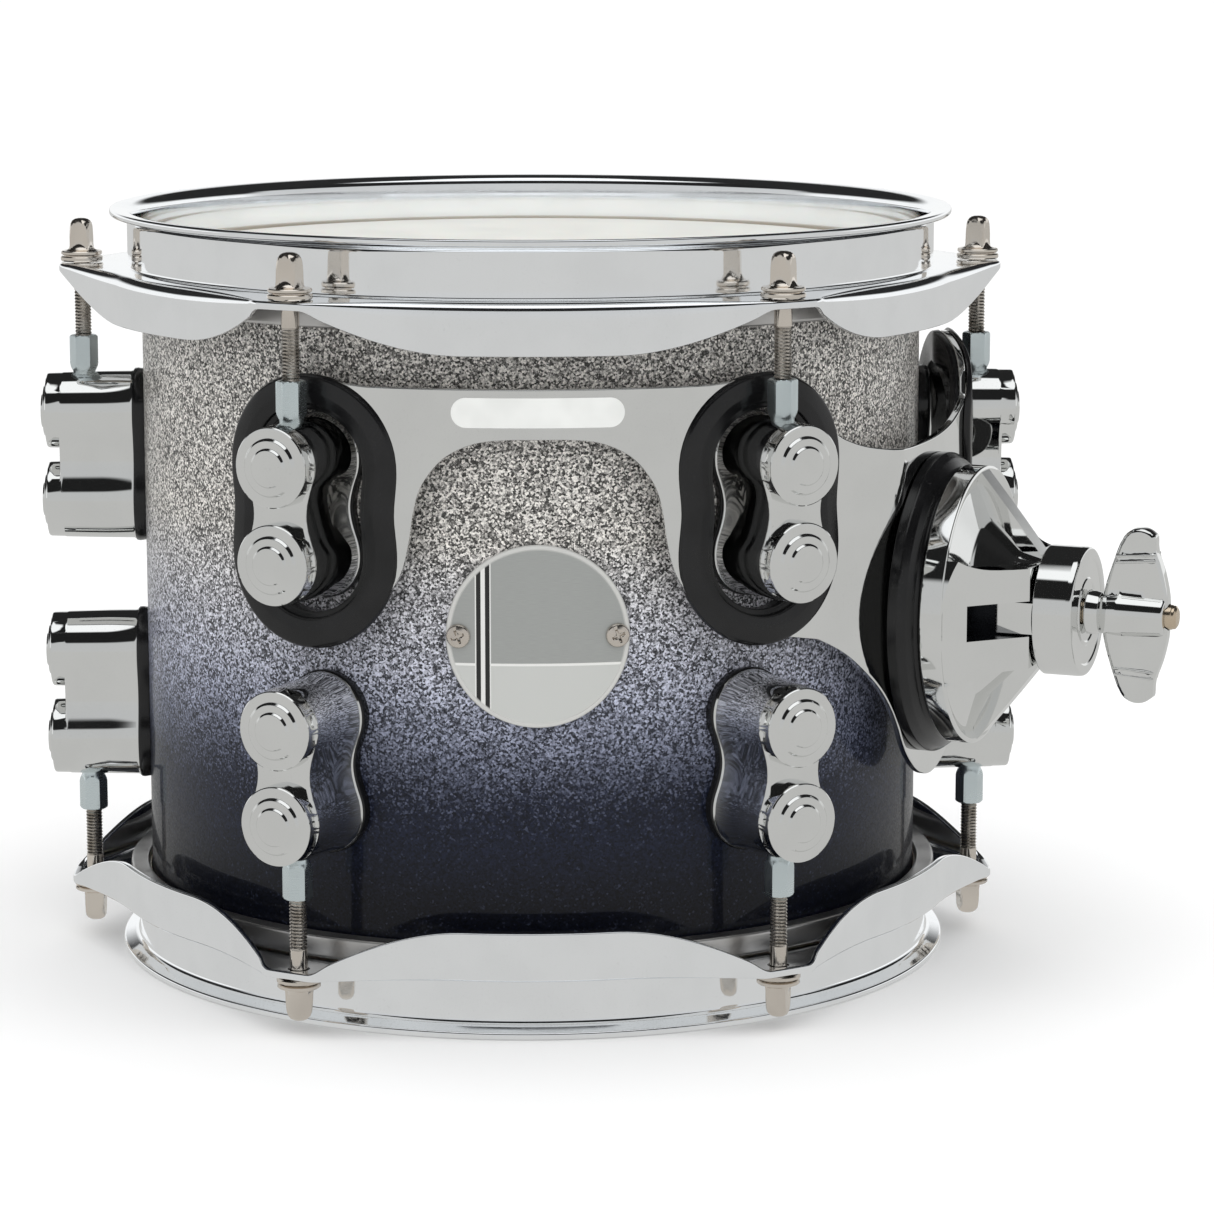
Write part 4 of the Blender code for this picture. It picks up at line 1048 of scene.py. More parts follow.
def make_lug_parts(s, h):
    """One lug and one gasket at the front of the drum, counted from the mid-plane."""
    seat = s.shell_radius + h.gasket
    levels = [(seat, 0.0009), (seat + 0.0008, 0.00045), (seat + 0.010, 0.0003),
              (h.web_face - 0.0012, 0.0), (h.web_face - 0.0006, -0.00015),
              (h.web_face - 0.00015, -0.0005), (h.web_face, -0.0010)]
    lug = from_rows("lug_source", peanut_rows(h, levels), caps=True)
    top = h.turret_top
    rim = h.turret_radius
    foot = h.web_face - 0.003
    face = [(0, top, 0), (0.0054, top, 0.0003), (0.0060, top - 0.0008, 0.0003),
            (0.0082, top - 0.0008, 0.0003), (0.0089, top - 0.0017, 0.0003), (rim, top - 0.0018, 0.0009),
            (rim + 0.0002, foot, 0), (0, foot, 0)]
    for side in (-1, 1):
        turret = lathe("turret", rounded(face, 3), 72)
        turret.data.transform(Matrix.Translation((0, side * h.turret_spacing / 2, 0)))
        combine(lug, turret, "UNION")
    finish_shape(lug, smooth_angle=28)
    levels = [(s.shell_radius, 0.0011), (s.shell_radius + 0.002, 0.0014), (seat - 0.0003, 0.0013),
              (seat, 0.0010)]
    gasket = from_rows("gasket_source", peanut_rows(h, levels), caps=True)
    seat_on_shell(gasket, s.shell_radius + 0.00005, s.shell_radius + 0.0001)
    for obj in (lug, gasket):
        obj.data.transform(Matrix.Translation((0, 0, h.lug_height)) @ Matrix.Rotation(math.pi / 2, 4, "X"))
    return lug, gasket


def circle(radius, height, steps):
    angles = [k * math.tau / steps for k in range(steps)]
    return [(radius * math.cos(angle), radius * math.sin(angle), height) for angle in angles]


def many_sided(levels, sides, half_flat, steps=72):
    """Rows of points round Z that follow the smaller of a many-sided prism and a turned outline."""
    rows = []
    for turned, low_limit, height in levels:
        row = []
        for k in range(steps):
            angle = k * math.tau / steps
            part = (angle + math.pi / sides) % (math.tau / sides) - math.pi / sides
            flat = half_flat / math.cos(part)
            radius = max(min(flat, turned), low_limit)
            row.append((radius * math.cos(angle), radius * math.sin(angle), height))
        rows.append(row)
    return rows


def make_nut_source(h):
    """A hexagonal swivel nut with turned ends and an open bore, standing on z = 0."""
    corner = h.nut_flats / 2 / math.cos(math.pi / 6)
    top = h.nut_length
    ends = [(0.0036, 0.0), (0.0037, 0.0009), (0.0040, 0.0015), (0.0044, 0.0024), (corner, 0.0034),
            (corner, top - 0.0006), (corner - 0.0003, top - 0.0002), (corner - 0.0007, top)]
    rows = many_sided([(radius, 0, height) for radius, height in ends], 6, h.nut_flats / 2)
    rows += [circle(h.rod_radius + 0.0002, height, 72) for height in (top, top * 0.5, 0.0)]
    return from_rows("nut_source", rows, closed_rows=True, smooth_angle=22)


def make_head_source(h):
    """The forged square head of a rod with its flange and washer, standing on the ear's face."""
    top = 0.0139
    start = 0.0034
    levels = [(0.0, 0.0, top), (0.0011, 0.0, top - 0.00005), (0.0021, 0.0, top - 0.0003),
              (0.0029, 0.0, top - 0.0008), (0.0035, 0.0, top - 0.0016), (0.0039, 0.0, top - 0.0027),
              (0.0041, 0.0, top - 0.0040), (0.00425, 0.0, top - 0.0060), (0.0043, 0.0, 0.0068),
              (0.00435, 0.0032, 0.0058), (0.0044, 0.00355, 0.0050), (0.0045, 0.0039, 0.0044),
              (0.0046, 0.0043, 0.0039), (0.0049, 0.0047, 0.0036), (0.0054, 0.0053, start)]
    rows = many_sided(levels, 4, h.key_half, 96)
    rim = h.washer_radius
    disc = [(rim - 0.0005, start - 0.0001), (rim - 0.0002, start - 0.0004), (rim - 0.0002, start - 0.0011),
            (rim - 0.0006, start - 0.0014), (0.0052, 0.0019), (0.0052, 0.0017), (rim - 0.0003, 0.0016),
            (rim, 0.0013), (rim, 0.0004), (rim - 0.0003, 0.0), (0.0, 0.0)]
    rows += [circle(radius, height, 96) for radius, height in disc]
    return from_rows("head_source", rows, smooth_angle=26)


def make_lugs(s, h):
    tree = ring_tree()
    lug, gasket = make_lug_parts(s, h)
    nut = make_nut_source(h)
    rise = h.lug_height + h.turret_spacing / 2 + h.casing_radius - 0.0004
    nut.data.transform(Matrix.Translation((0, -h.rod_circle, rise)))
    rows = (("lug_castings", lug, "chrome", "lug_", 28), ("lug_gaskets", gasket, "rubber", "", 40),
            ("swivel_nuts", nut, "zinc", "lug_nut_", 22))
    for name, part, material, node, smooth_angle in rows:
        for side, flip in (("top", 0.0), ("bottom", 1.0)):
            ring = grow(f"{name}_{side}", tree, {
                "Part": part, "Count": LUG_COUNT, "First Azimuth": FIRST_LUG, "Azimuth Step": LUG_STEP,
                "Middle Height": MID, "Flip": flip, "Finish": MATERIALS[material]}, smooth_angle)
            nodes = [f"{node}{side}_{index}" for index in range(1, LUG_COUNT + 1)] if node else []
            finish(ring, None, "drum", material, *nodes)
    for part in (lug, gasket, nut):
        bpy.data.objects.remove(part, do_unlink=True)


def make_rods(s, h):
    tree = rod_tree()
    head = make_head_source(h)
    seat = RIM_TOP - s.hoop_height + CLEAR
    turns = (0.35, -0.2, 0.1, 0.62, -0.5, 0.25)
    for index in range(LUG_COUNT):
        for side, flip in (("top", 0.0), ("bottom", 1.0)):
            body = f"tension_rod_{side}_{index + 1}"
            rod = grow(f"rod_{side}_{index + 1}", tree, {
                "Head": head, "Radius": h.rod_radius, "Length": seat - h.rod_end, "Neck": h.rod_neck,
                "Pitch": h.thread_pitch, "Depth": h.thread_depth,
                "Azimuth": float(FIRST_LUG + index * LUG_STEP), "Distance": h.rod_circle,
                "Seat Height": seat, "Middle Height": MID, "Flip": flip,
                "Turn": turns[index] + 0.3 * flip, "Head Finish": MATERIALS["nickel"],
                "Thread Finish": MATERIALS["thread"]}, 26)
            finish(rod, None, body, "nickel", body)
    bpy.data.objects.remove(head, do_unlink=True)


# ---------------------------------------------------------------- suspension plate

# How far the flat under the mount reaches to each side, and how long it runs out (degrees)
FLAT_SPREAD = 13
FLAT_RUN_OUT = 11


def plate_distance(m, azimuth):
    """Distance of the plate's outer face from the axis: round the drum, but flat under the mount."""
    offset = abs(azimuth - m.mount_azimuth)
    flat = m.mount_flat / math.cos(math.radians(min(offset, FLAT_SPREAD)))
    return flat + (m.plate_radius - flat) * ease((offset - FLAT_SPREAD) / FLAT_RUN_OUT)


def wrap_round(m, rise, radius=None):
    """A bend for slab(): x becomes arc length round the drum, y height and z depth below the outer face."""
    def bend(points):
        placed = np.empty_like(points)
        for i, (x, y, z) in enumerate(points):
            angle = x / (radius or m.plate_radius)
            face = radius or plate_distance(m, math.degrees(angle)) - m.plate_thickness / 2
            placed[i] = ((face + z) * math.sin(angle), -(face + z) * math.cos(angle), MID + rise + y)
        return placed
    return bend


def plate_outline(m):
    """Outline of the suspension plate, as (arc length, height over the grommets' middle), anticlockwise."""
    border = 0.0023
    lobe_radius = m.grommet_half_width + 0.0045 + border
    centres = m.grommet_centres - border / 2

    def lobe(azimuth, first, last):
        side = 1 if math.sin(math.radians((first + last) / 2)) > 0 else -1
        return arc((m.plate_radius * math.radians(azimuth), side * centres), lobe_radius, first, last)

    def along(points):
        return smooth_run([(m.plate_radius * math.radians(azimuth), height) for azimuth, height in points])

    inner_edge = [(20, -0.027), (17.6, -0.018), (16.5, -0.009), (15.9, 0), (15.1, 0.0075),
                  (13.6, 0.0135), (11.3, 0.0188), (7.6, 0.0226), (3.5, 0.0236)]
    left_edge = [(-azimuth, height) for azimuth, height in inner_edge]
    tail = [(39, -0.0425), (44.3, -0.049), (48.8, -0.0595), (51.4, -0.0685), (53.5, -0.0775),
            (56.6, -0.0858), (61.2, -0.0928), (66.2, -0.0955), (71.2, -0.0928), (75.4, -0.0858),
            (78, -0.0775), (79.8, -0.0685), (81, -0.0595), (82.2, -0.0515), (84.6, -0.0445)]
    valley = [(79.2, 0.0225), (76.3, 0.0185), (72.5, 0.0154), (67, 0.0136), (60, 0.0131), (53, 0.0136),
              (47.5, 0.0154), (43.7, 0.0185), (40.8, 0.0225)]
    first, second, third = PLATE_LOBES
    outline = lobe(first, 100, 180)[:-1] + lobe(first, 180, 310) + along(left_edge)
    outline += along(inner_edge[::-1]) + lobe(second, 235, 285) + along(tail)
    outline += lobe(third, 295, 360)[:-1] + lobe(third, 0, 140) + along(valley) + lobe(second, 40, 80)
    crest = 0.0388
    outline += [(m.plate_radius * math.radians(azimuth), crest) for azimuth in (22, 15, 7, 0, -7, -15, -22)]
    return outline


def spread_evenly(outline, spacing):
    """Points every so far along a closed outline, with no two on top of each other."""
    points = np.asarray(outline + [outline[0]], float)
    steps = np.linalg.norm(np.diff(points, axis=0), axis=1)
    points = points[np.concatenate([[True], steps > 1e-6])]
    run = np.concatenate([[0], np.cumsum(np.linalg.norm(np.diff(points, axis=0), axis=1))])
    count = int(run[-1] / spacing)
    spots = np.linspace(0, run[-1], count, endpoint=False)
    return np.stack([np.interp(spots, run, points[:, 0]), np.interp(spots, run, points[:, 1])], 1)


def make_plate(m):
    holes = []
    for azimuth in PLATE_LOBES:
        middle = m.plate_radius * math.radians(azimuth)
        ring = peanut(m.grommet_half_width + 0.0046, m.grommet_centres, m.grommet_waist + 0.0046, 12)
        holes.append(spread_evenly([(middle + x, y) for x, y in ring], 0.0016))
    outline = spread_evenly(plate_outline(m), 0.0016)
    plate = slab("suspension_plate", [outline] + holes, m.plate_thickness / 2, 0.0005, 0.0030,
                 wrap_round(m, m.grommet_height))
    finish(plate, "chrome", "drum", "chrome", "mount_plate")


def make_grommets(m):
    """Rubber bands that grip the plate's openings: a wide front flange with a step down on its inside."""
    section = [(-0.0045, -0.0040, 0.0005), (-0.0046, 0.0012, 0.0009), (-0.0030, 0.0017, 0.0003),
               (-0.0026, 0.0031, 0.0009), (0.0010, 0.0037, 0.002), (0.0058, 0.0032, 0.0012),
               (0.0066, 0.0014, 0.0003), (0.0047, 0.00135, 0.0002), (0.0047, -0.00135, 0.0002),
               (0.0058, -0.0014, 0.0004), (0.0054, -0.0040, 0.0008)]
    band = rounded(section, 3, closed=True)
    for index, azimuth in enumerate(PLATE_LOBES, start=1):
        path = spread_evenly(peanut(m.grommet_half_width, m.grommet_centres, m.grommet_waist, 12), 0.0012)
        normals = outward_normals(path)
        rows = []
        for (x, y), (nx, ny) in zip(path, normals):
            rows.append([(x + u * nx, y + u * ny, v) for u, v in band])
        rows = np.asarray(rows)
        rows[..., 0] += m.plate_radius * math.radians(azimuth)
        placed = wrap_round(m, m.grommet_height)(rows.reshape(-1, 3)).reshape(rows.shape)
        ring = from_rows(f"rubber_grommet_{index}", placed, closed_rows=True)
        finish(ring, "rubber", "drum", "rubber", f"grommet_{index}")


# ---------------------------------------------------------------- side mount

def make_pad(m):
    back = m.mount_flat + CLEAR
    face = m.pad_face
    wide = m.pad_radius
    outline = [(0, face, 0), (wide - 0.0052, face, 0.0004), (wide - 0.0044, face - 0.0012, 0.0006),
               (wide - 0.0016, face - 0.0030, 0.0012), (wide, face - 0.0052, 0.0012),
               (wide, back, 0.0004), (0, back, 0)]
    pad = lathe("rubber_pad", rounded(outline, 4), 128)
    pad.data.transform(outside(m.mount_azimuth, m.mount_height))
    finish(pad, "rubber", "drum", "rubber", "mount_pad")


def prism(name, outline, half_depth, turn=None):
    rows = [[(x, y, z) for x, y in outline] for z in (-half_depth, half_depth)]
    obj = from_rows(name, rows, caps=True)
    if turn is not None:
        obj.data.transform(turn)
        tidy_faces(obj.data)
    return obj


UPRIGHT = Matrix.Rotation(math.pi / 2, 4, "X")
SIDEWAYS = Matrix.Rotation(math.pi / 2, 4, "Z") @ Matrix.Rotation(math.pi / 2, 4, "X")


def drill(name, radius, length_, place=None, steps=48):
    half = length_ / 2
    tool = lathe(name, [(0, -half), (radius, -half), (radius, half), (0, half)], steps)
    if place is not None:
        tool.data.transform(place)
    return tool


# Two slots for the cap's tongues, and the mouths of the bores for the holding arm, in the mount's own frame
SLOT_NEAR, SLOT_FAR, SLOT_FLOOR, SLOT_HALF = 0.0125, 0.0362, 0.1602, 0.0056
BORE_SIDE, BORE_RISE, BORE_DISTANCE = 0.0240, 0.0150, 0.1655
BORE_RADIUS, BORE_LENGTH = 0.0045, 0.008
BOLT_GAP = 0.0003


def make_base(m):
    """The cast base: a rim, hollows that rise to the hub, a wide bar with slots, and two narrow ribs."""
    seat = m.pad_face + CLEAR
    rim = m.base_radius
    outline = [(0, m.base_top, 0), (0.0168, m.base_top, 0.0006), (0.0190, 0.1690, 0.004),
               (0.0290, 0.1590, 0.006), (0.0400, 0.1543, 0.002), (rim - 0.0012, m.base_rim, 0.0008),
               (rim, m.base_rim - 0.0004, 0.0006), (rim, seat + 0.0006, 0.0006),
               (rim - 0.0010, seat, 0.0004), (0, seat, 0)]
    base = lathe("mount_casting", rounded(outline, 5), 144)
    foot = m.base_rim - 0.006
    reach = rim - 0.0009

    def gable(top, half_top, sag):
        middle = ((reach + half_top) / 2, (m.base_rim + top) / 2 - sag)
        side = smooth_run([(reach, m.base_rim - 0.0004), middle, (half_top + 0.0015, top - 0.0012),
                           (half_top, top)], 5)
        return [(-reach, foot), (reach, foot)] + side + [(-x, y) for x, y in reversed(side)]

    bar = prism("bar", gable(m.base_top - 0.0003, m.cap_radius - 0.0008, 0.0006), 0.04, UPRIGHT)
    half = m.bar_half_height
    flare = smooth_run([(0.0, half), (0.024, half + 0.0002), (0.034, half + 0.0016), (0.041, half + 0.0060),
                        (0.046, half + 0.0130)], 4)
    right = flare + [(x, -y) for x, y in reversed(flare)]
    sides = right + [(-x, -y) for x, y in right]
    waist = prism("waist", [p for i, p in enumerate(sides) if i == 0 or p != sides[i - 1]], 0.4)
    combine(bar, waist, "INTERSECT")
    combine(bar, drill("rim_limit", rim - 0.0006, 0.5, steps=144), "INTERSECT")
    combine(base, bar, "UNION")
    rib = prism("rib", gable(m.base_top - 0.0008, 0.0170, 0.0), 0.0042, SIDEWAYS)
    combine(base, rib, "UNION")
    for side in (-1, 1):
        for up in (-1, 1):
            spot = Matrix.Translation((side * BORE_SIDE, up * BORE_RISE, BORE_DISTANCE)) @ UPRIGHT
            combine(base, drill("arm_bore", BORE_RADIUS, BORE_LENGTH, spot), "DIFFERENCE")
    for side in (-1, 1):
        low, high = sorted((side * SLOT_NEAR, side * SLOT_FAR))
        corners = [(low, SLOT_FLOOR), (high, SLOT_FLOOR), (high, 0.19), (low, 0.19)]
        combine(base, prism("slot", corners, SLOT_HALF, UPRIGHT), "DIFFERENCE")
    base.data.materials.clear()
    base.data.materials.append(MATERIALS["chrome"])
    base.data.materials.append(MATERIALS["recess"])
    # Painted shade: faces wholly inside the two slots and the four arm bores get the near-black recess
    # plating, which stands in for the shade in these hollows
    points = [vertex.co for vertex in base.data.vertices]
    near = 0.00001
    in_slot = [SLOT_NEAR - near < abs(p.x) < SLOT_FAR + near and abs(p.y) < SLOT_HALF + near
               and p.z > SLOT_FLOOR - near for p in points]
    in_bore = [abs(p.y) > BORE_RISE - BORE_LENGTH / 2 - near
               and math.hypot(abs(p.x) - BORE_SIDE, p.z - BORE_DISTANCE) < BORE_RADIUS + near for p in points]
    for face in base.data.polygons:
        gets_painted_shade = all(in_slot[i] for i in face.vertices) or all(in_bore[i] for i in face.vertices)
        face.material_index = 1 if gets_painted_shade else 0
    finish_shape(base, 0.0005, 2, 30)
    base.data.transform(outside(m.mount_azimuth, m.mount_height))
    finish(base, None, "drum", "chrome", "mount_base")


def make_cap(m):
    back = m.base_top + CLEAR
    face = back + m.cap_thickness
    wide = m.cap_radius
    sunk = face - 0.0004
    outline = [(0, sunk, 0), (0.0092, sunk, 0), (0.0097, face, 0.0002), (0.0104, face, 0.0002),
               (0.0109, sunk, 0), (0.0165, sunk, 0.0001), (0.0171, face, 0.0003),
               (wide - 0.0002, face, 0.0011), (wide, face - 0.0020, 0.0008), (wide, back + 0.0004, 0.0003),
               (wide - 0.0006, back, 0.0003), (0, back, 0)]
    cap = lathe("clamp_cap_casting", rounded(outline, 4), 128)
    for side in (-1, 1):
        low, high = sorted((side * 0.0131, side * (wide - 0.0006)))
        corners = [(low, back - 0.0115), (high, back - 0.0115), (high, back + 0.003), (low, back + 0.003)]
        combine(cap, prism("tongue", corners, 0.0049, UPRIGHT), "UNION")
    combine(cap, drill("bolt_bore", m.bolt_radius + BOLT_GAP, 0.6), "DIFFERENCE")
    finish_shape(cap, 0.0004, 2, 28)
    cap.data.transform(outside(m.mount_azimuth, m.mount_height))
    finish(cap, "chrome", "clamp_cap", "chrome", "clamp_cap")
    return face


def make_wing(m, seat):
    """A cast wing nut: a round hub and two flat wings with a pair of ridges across each."""
    outline = [(0, m.wing_top - 0.0008, 0), (m.bolt_radius + 0.0026, m.wing_top - 0.0008, 0.0012),
               (0.0072, seat + 0.0100, 0.004), (0.0064, seat + 0.0040, 0.002), (0.0072, seat, 0.0004),
               (0, seat, 0)]
    wing = lathe("wing_nut_casting", rounded(outline, 4), 72)
    root = seat + 0.0052
    tip = m.wing_span
    lobe = [(root - 0.001, 0.0), (root - 0.0004, 0.0045), (root + 0.0008, 0.0105), (root + 0.0030, 0.0175),
            (root + 0.0048, 0.0225)]
    lobe += arc((root + 0.0113, tip - 0.0062), 0.0062, 160, 35, 12)
    lobe += [(m.wing_top - 0.0040, 0.0205), (m.wing_top - 0.0018, 0.0140), (m.wing_top - 0.0002, 0.0065),
             (m.wing_top, 0.0)]
    smooth = smooth_run(lobe, 3)
    outline = [(-z, y) for z, y in smooth] + [(-z, -y) for z, y in reversed(smooth[1:-1])]
    outline = spread_evenly(outline[::-1], 0.0006)
    area = np.sum(outline[:, 0] * np.roll(outline[:, 1], -1) - np.roll(outline[:, 0], -1) * outline[:, 1])
    outline = outline if area > 0 else outline[::-1]
    blade = slab("blade", [outline], 0.0031, 0.0014, 0.0025)
    blade.data.transform(Matrix.Rotation(math.pi / 2, 4, "Y"))
    tidy_faces(blade.data)
    combine(wing, blade, "UNION")
    for side in (-1, 1):
        for rise in (0.0168, 0.0188):
            start = Vector((0, side * rise, root + 0.0040))
            end = Vector((0, side * (rise + 0.0009), m.wing_top - 0.0040))
            axis = end - start
            ridge = drill("ridge", 0.00036, axis.length, steps=12)
            turn = axis.to_track_quat("Z", "Y").to_matrix().to_4x4()
            for face in (-1, 1):
                copy = add_object("ridge_copy", ridge.data.copy())
                middle = (start + end) / 2 + Vector((face * 0.0031, 0, 0))
                copy.data.transform(Matrix.Translation(middle) @ turn)
                combine(wing, copy, "UNION")
            bpy.data.objects.remove(ridge, do_unlink=True)
    combine(wing, drill("bolt_bore", m.bolt_radius + BOLT_GAP, 0.6), "DIFFERENCE")
    finish_shape(wing, 0.0, 2, 34)
    wing.data.transform(outside(m.mount_azimuth, m.mount_height))
    finish(wing, "chrome", "wing_nut", "chrome", "wing_nut")


def make_bolt(m):
    end = m.bolt_end
    wide = m.bolt_radius
    outline = [(0, end, 0), (wide - 0.0012, end - 0.0001, 0.0006), (wide - 0.0002, end - 0.0008, 0.0005),
               (wide - 0.0002, end - 0.0016, 0.0001), (wide, end - 0.0018, 0.0001),
               (wide, m.base_top + CLEAR, 0), (0, m.base_top + CLEAR, 0)]
    bolt = lathe("clamp_bolt_turned", rounded(outline, 4), 64)
    bolt.data.transform(outside(m.mount_azimuth, m.mount_height))
    finish(bolt, "brass", "drum", "nickel", "clamp_bolt")


# ---------------------------------------------------------------- badge and label

def make_badge(s, m):
    radius = s.shell_radius + CLEAR + 0.0005
    disc = np.array(arc((0, 0), m.badge_radius, 0, 357, 3))
    badge = slab("badge_plate", [disc], 0.0005, 0.0003, 0.0020, wrap_round(m, m.badge_height, radius=radius),
                 flat_uv=BADGE_UV)
    inner = np.array(arc((0, 0), m.badge_radius - 0.0014, 0, 357, 3))
    rim = slab("badge_rim", [disc * 0.994, inner], 0.0006, 0.00025, 0.0012,
               wrap_round(m, m.badge_height, radius=radius + 0.0001), flat_uv=BADGE_UV)
    finish(badge, "badge", "drum", "badge_metal", "badge")
    finish(rim, "badge", "drum", "badge_metal")
    top = 0.0014
    outline = [(0, top, 0), (0.0020, top - 0.0001, 0.0005), (0.0034, top - 0.0006, 0.0006),
               (0.0037, 0.0002, 0.0003), (0.0037, -0.0002, 0), (0, -0.0002, 0)]
    screw = lathe("screw_source", rounded(outline, 4), 48)
    for turn in (0, math.pi / 2):
        corners = [(-0.0019, 0.0003), (0.0019, 0.0003), (0.0024, 0.003), (-0.0024, 0.003)]
        slot = prism("recess", corners, 0.00042, Matrix.Rotation(turn + 0.4, 4, "Z") @ UPRIGHT)
        combine(screw, slot, "DIFFERENCE")
    finish_shape(screw, 0.0, 2, 30)
    reach = radius + 0.0005 + CLEAR
    lift = Matrix.Translation((0, 0, m.badge_height)) @ UPRIGHT @ Matrix.Translation((0, 0, reach))
    screw.data.transform(lift)
    spread = math.degrees(m.badge_screws / radius)
    pair = grow("badge_screws", ring_tree(), {
        "Part": screw, "Count": 2, "First Azimuth": -spread, "Azimuth Step": 2 * spread, "Middle Height": MID,
        "Flip": 0.0, "Finish": MATERIALS["nickel"]}, 30)
    bpy.data.objects.remove(screw, do_unlink=True)
    finish(pair, None, "drum", "nickel", "badge_screw_left", "badge_screw_right")


def make_label(m):
    corner = m.label_height / 2
    side = m.label_width / 2 - corner
    outline = arc((side, 0), corner, -90, 90) + arc((-side, 0), corner, 90, 270)
    bend = wrap_round(m, m.label_rise, radius=m.plate_radius + 0.0002)
    label = slab("blank_label", [spread_evenly(outline, 0.0008)], 0.0002, 0.0001, 0.002, bend)
    finish(label, "vinyl", "drum", "white_vinyl", "label")


# ---------------------------------------------------------------- stage

def make_world():
    """An even white room for soft light. Polished metal sees grey panels, a dark gap and a white ceiling."""
    world = bpy.data.worlds.new("studio")
    bpy.context.scene.world = world
    world.use_nodes = True
    tree = world.node_tree
    tree.nodes.clear()
    direction = tree.nodes.new("ShaderNodeTexCoord").outputs["Generated"]
    depth, rise = separate_xyz(tree, direction)[1:]
    front = remap(tree, depth, -0.05, 0.15, 1.0, 0.0)
    panel_front = remap(tree, rise, 0.40, 0.47, 0.60, 0.015)
    panel_back = remap(tree, rise, 0.16, 0.30, 0.95, 0.02)
    ceiling = remap(tree, rise, 0.84, 0.88, 0.0, 1.15)
    back_ceiling = remap(tree, rise, 0.955, 0.975, 0.0, 1.15)
    ahead = calculate(tree, "MAXIMUM", panel_front, ceiling)
    behind = calculate(tree, "MAXIMUM", panel_back, back_ceiling)
    mixed = add_node(tree, "ShaderNodeMix", {0: front, 2: behind, 3: ahead}, data_type="FLOAT").outputs[0]
    lifted = calculate(tree, "MULTIPLY", mixed, remap(tree, rise, -1.0, 0.3, 1.12, 1.0))
    tint = mix_colour(tree, remap(tree, rise, -0.5, 0.5), (1.0, 1.0, 0.985, 1), (0.985, 1.0, 1.01, 1))
    seen = mix_colour(tree, 1.0, tint, lifted, "MULTIPLY")
    paths = tree.nodes.new("ShaderNodeLightPath")
    plain = add_node(tree, "ShaderNodeBackground", {"Color": (1, 1, 1, 1), "Strength": 1.06})
    polished = add_node(tree, "ShaderNodeBackground", {"Color": seen, "Strength": 1.0})
    mixed = add_node(tree, "ShaderNodeMixShader", {0: paths.outputs["Is Glossy Ray"], 1: plain.outputs[0],
                                                   2: polished.outputs[0]})
    output = tree.nodes.new("ShaderNodeOutputWorld")
    tree.links.new(mixed.outputs[0], output.inputs[0])


def make_floor():
    mesh = bpy.data.meshes.new("studio_floor")
    shape = bmesh.new()
    bmesh.ops.create_grid(shape, x_segments=1, y_segments=1, size=20)
    shape.to_mesh(mesh)
    shape.free()
    floor = add_object("studio_floor", mesh)
    mesh.transform(Matrix.Translation((0, 0, FLOOR - 0.0002)))
    material, tree, shader, place = new_material("pale_floor")
    cloud = noise(tree, place, 3.0, 2.0)
    tree.links.new(mix_colour(tree, cloud, (0.965, 0.965, 0.965, 1), (0.98, 0.98, 0.98, 1)),
                   shader.inputs["Base Color"])
    shader.inputs["Roughness"].default_value = 0.9
    shader.inputs["Specular IOR Level"].default_value = 0.0
    paths = tree.nodes.new("ShaderNodeLightPath")
    grey = add_node(tree, "ShaderNodeEmission", {"Color": (0.60, 0.60, 0.59, 1), "Strength": 1.0})
    output = tree.nodes["Material Output"]
    seen = add_node(tree, "ShaderNodeMixShader", {0: paths.outputs["Is Glossy Ray"], 1: shader.outputs[0],
                                                  2: grey.outputs[0]})
    tree.links.new(seen.outputs[0], output.inputs["Surface"])
    mesh.materials.append(material)


def make_camera(studio):
    data = bpy.data.cameras.new("product_camera")
    data.lens = studio.lens
    data.sensor_width = 36
    data.clip_start = 0.01
    data.clip_end = 100
    camera = add_object("product_camera", data)
    spot, aim = Vector(studio.camera_spot), Vector(studio.camera_aim)
    camera.location = spot
    camera.rotation_euler = (aim - spot).to_track_quat("-Z", "Y").to_euler()
    bpy.context.scene.camera = camera


def make_softbox(studio):
    data = bpy.data.lights.new("overhead_softbox", "AREA")
    data.shape = "DISK"
    data.size = 1.6
    data.energy = studio.softbox
    light = add_object("overhead_softbox", data)
    light.location = (0.1, -0.5, 1.3)
    light.rotation_euler = (Vector((0, 0, MID)) - light.location).to_track_quat("-Z", "Y").to_euler()
    light.visible_glossy = False
    light.visible_camera = False


# ---------------------------------------------------------------- operators and panel

def sizes(context):
    scene = context.scene
    return scene.tom_drum, scene.tom_hardware, scene.tom_mount


class TOM_OT_finishes(Operator):
    """Make the lacquer, the platings, the rubber, the film and the badge's face"""
    bl_idname = "tom.finishes"
    bl_label = "Finishes"

    def execute(self, context):
        MATERIALS.update(make_materials(context.scene.tom_finishes))
        return {"FINISHED"}


class TOM_OT_shell(Operator):
    """Turn the shell with its bearing edges"""
    bl_idname = "tom.shell"
    bl_label = "Shell"

    def execute(self, context):
        make_shell(sizes(context)[0])
        return {"FINISHED"}


class TOM_OT_heads(Operator):
    """Make both heads and the metal rings that hold them"""
    bl_idname = "tom.heads"
    bl_label = "Heads"

    def execute(self, context):
        make_heads(sizes(context)[0])
        return {"FINISHED"}


class TOM_OT_hoops(Operator):
    """Press both flanged hoops with their ears"""
    bl_idname = "tom.hoops"
    bl_label = "Hoops"

    def execute(self, context):
        make_hoops(*sizes(context)[:2])
        return {"FINISHED"}


class TOM_OT_lugs(Operator):
    """Cast the twelve lugs with their gaskets and swivel nuts"""
    bl_idname = "tom.lugs"
    bl_label = "Lugs"

    def execute(self, context):
        make_lugs(*sizes(context)[:2])
        return {"FINISHED"}


class TOM_OT_rods(Operator):
    """Make the twelve tension rods with their threads and washers"""
    bl_idname = "tom.rods"
    bl_label = "Tension rods"

    def execute(self, context):
        make_rods(*sizes(context)[:2])
        return {"FINISHED"}


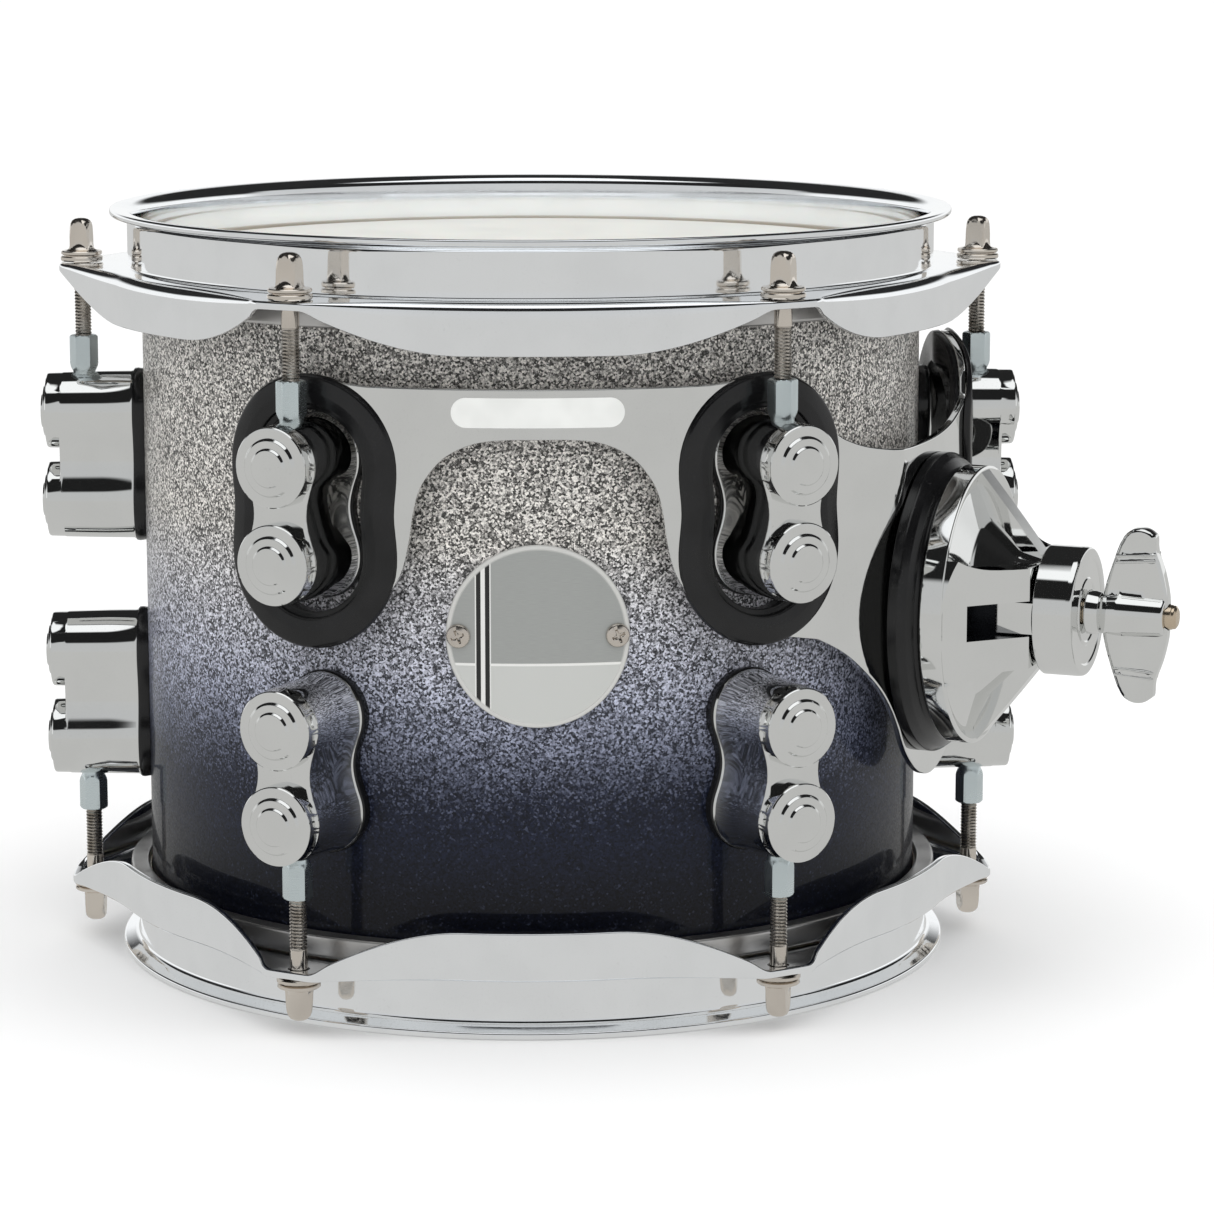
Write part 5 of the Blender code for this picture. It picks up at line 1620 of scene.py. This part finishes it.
class TOM_OT_plate(Operator):
    """Bend the suspension plate and mould its grommets"""
    bl_idname = "tom.plate"
    bl_label = "Suspension plate"

    def execute(self, context):
        mount = sizes(context)[2]
        make_plate(mount)
        make_grommets(mount)
        return {"FINISHED"}


class TOM_OT_mount(Operator):
    """Make the side mount: pad, base, clamp cap, bolt and wing nut"""
    bl_idname = "tom.mount"
    bl_label = "Side mount"

    def execute(self, context):
        mount = sizes(context)[2]
        make_pad(mount)
        make_base(mount)
        face = make_cap(mount)
        make_wing(mount, face + CLEAR)
        make_bolt(mount)
        return {"FINISHED"}


class TOM_OT_badge(Operator):
    """Make the badge with its screws, and the blank label"""
    bl_idname = "tom.badge"
    bl_label = "Badge and label"

    def execute(self, context):
        make_badge(*sizes(context)[::2])
        make_label(sizes(context)[2])
        return {"FINISHED"}


class TOM_OT_stage(Operator):
    """Set up the floor, the light and the camera"""
    bl_idname = "tom.stage"
    bl_label = "Stage"

    def execute(self, context):
        studio = context.scene.tom_studio
        make_world()
        make_floor()
        make_softbox(studio)
        make_camera(studio)
        context.scene.view_settings.view_transform = "Standard"
        return {"FINISHED"}


STEPS = (TOM_OT_finishes, TOM_OT_shell, TOM_OT_heads, TOM_OT_hoops, TOM_OT_lugs, TOM_OT_rods, TOM_OT_plate,
         TOM_OT_mount, TOM_OT_badge, TOM_OT_stage)


class TOM_PT_panel(Panel):
    """Lists the steps that build the drum"""
    bl_idname = "TOM_PT_panel"
    bl_label = "Rack Tom"
    bl_space_type = "VIEW_3D"
    bl_region_type = "UI"
    bl_category = "Rack Tom"

    def draw(self, context):
        column = self.layout.column(align=True)
        for step in STEPS:
            column.operator(step.bl_idname)


GROUPS = {"tom_drum": DrumSizes, "tom_hardware": HardwareSizes, "tom_mount": MountSizes,
          "tom_finishes": DrumFinishes, "tom_studio": StudioSettings}
CLASSES = tuple(GROUPS.values()) + STEPS + (TOM_PT_panel,)


def register():
    for cls in CLASSES:
        bpy.utils.register_class(cls)
    for name, cls in GROUPS.items():
        setattr(bpy.types.Scene, name, PointerProperty(type=cls))


def unregister():
    for name in GROUPS:
        delattr(bpy.types.Scene, name)
    for cls in reversed(CLASSES):
        bpy.utils.unregister_class(cls)


def main():
    register()
    for step in STEPS:
        getattr(bpy.ops.tom, step.bl_idname.split(".")[1])()
    bpy.context.view_layer.update()


if __name__ == "__main__":
    main()
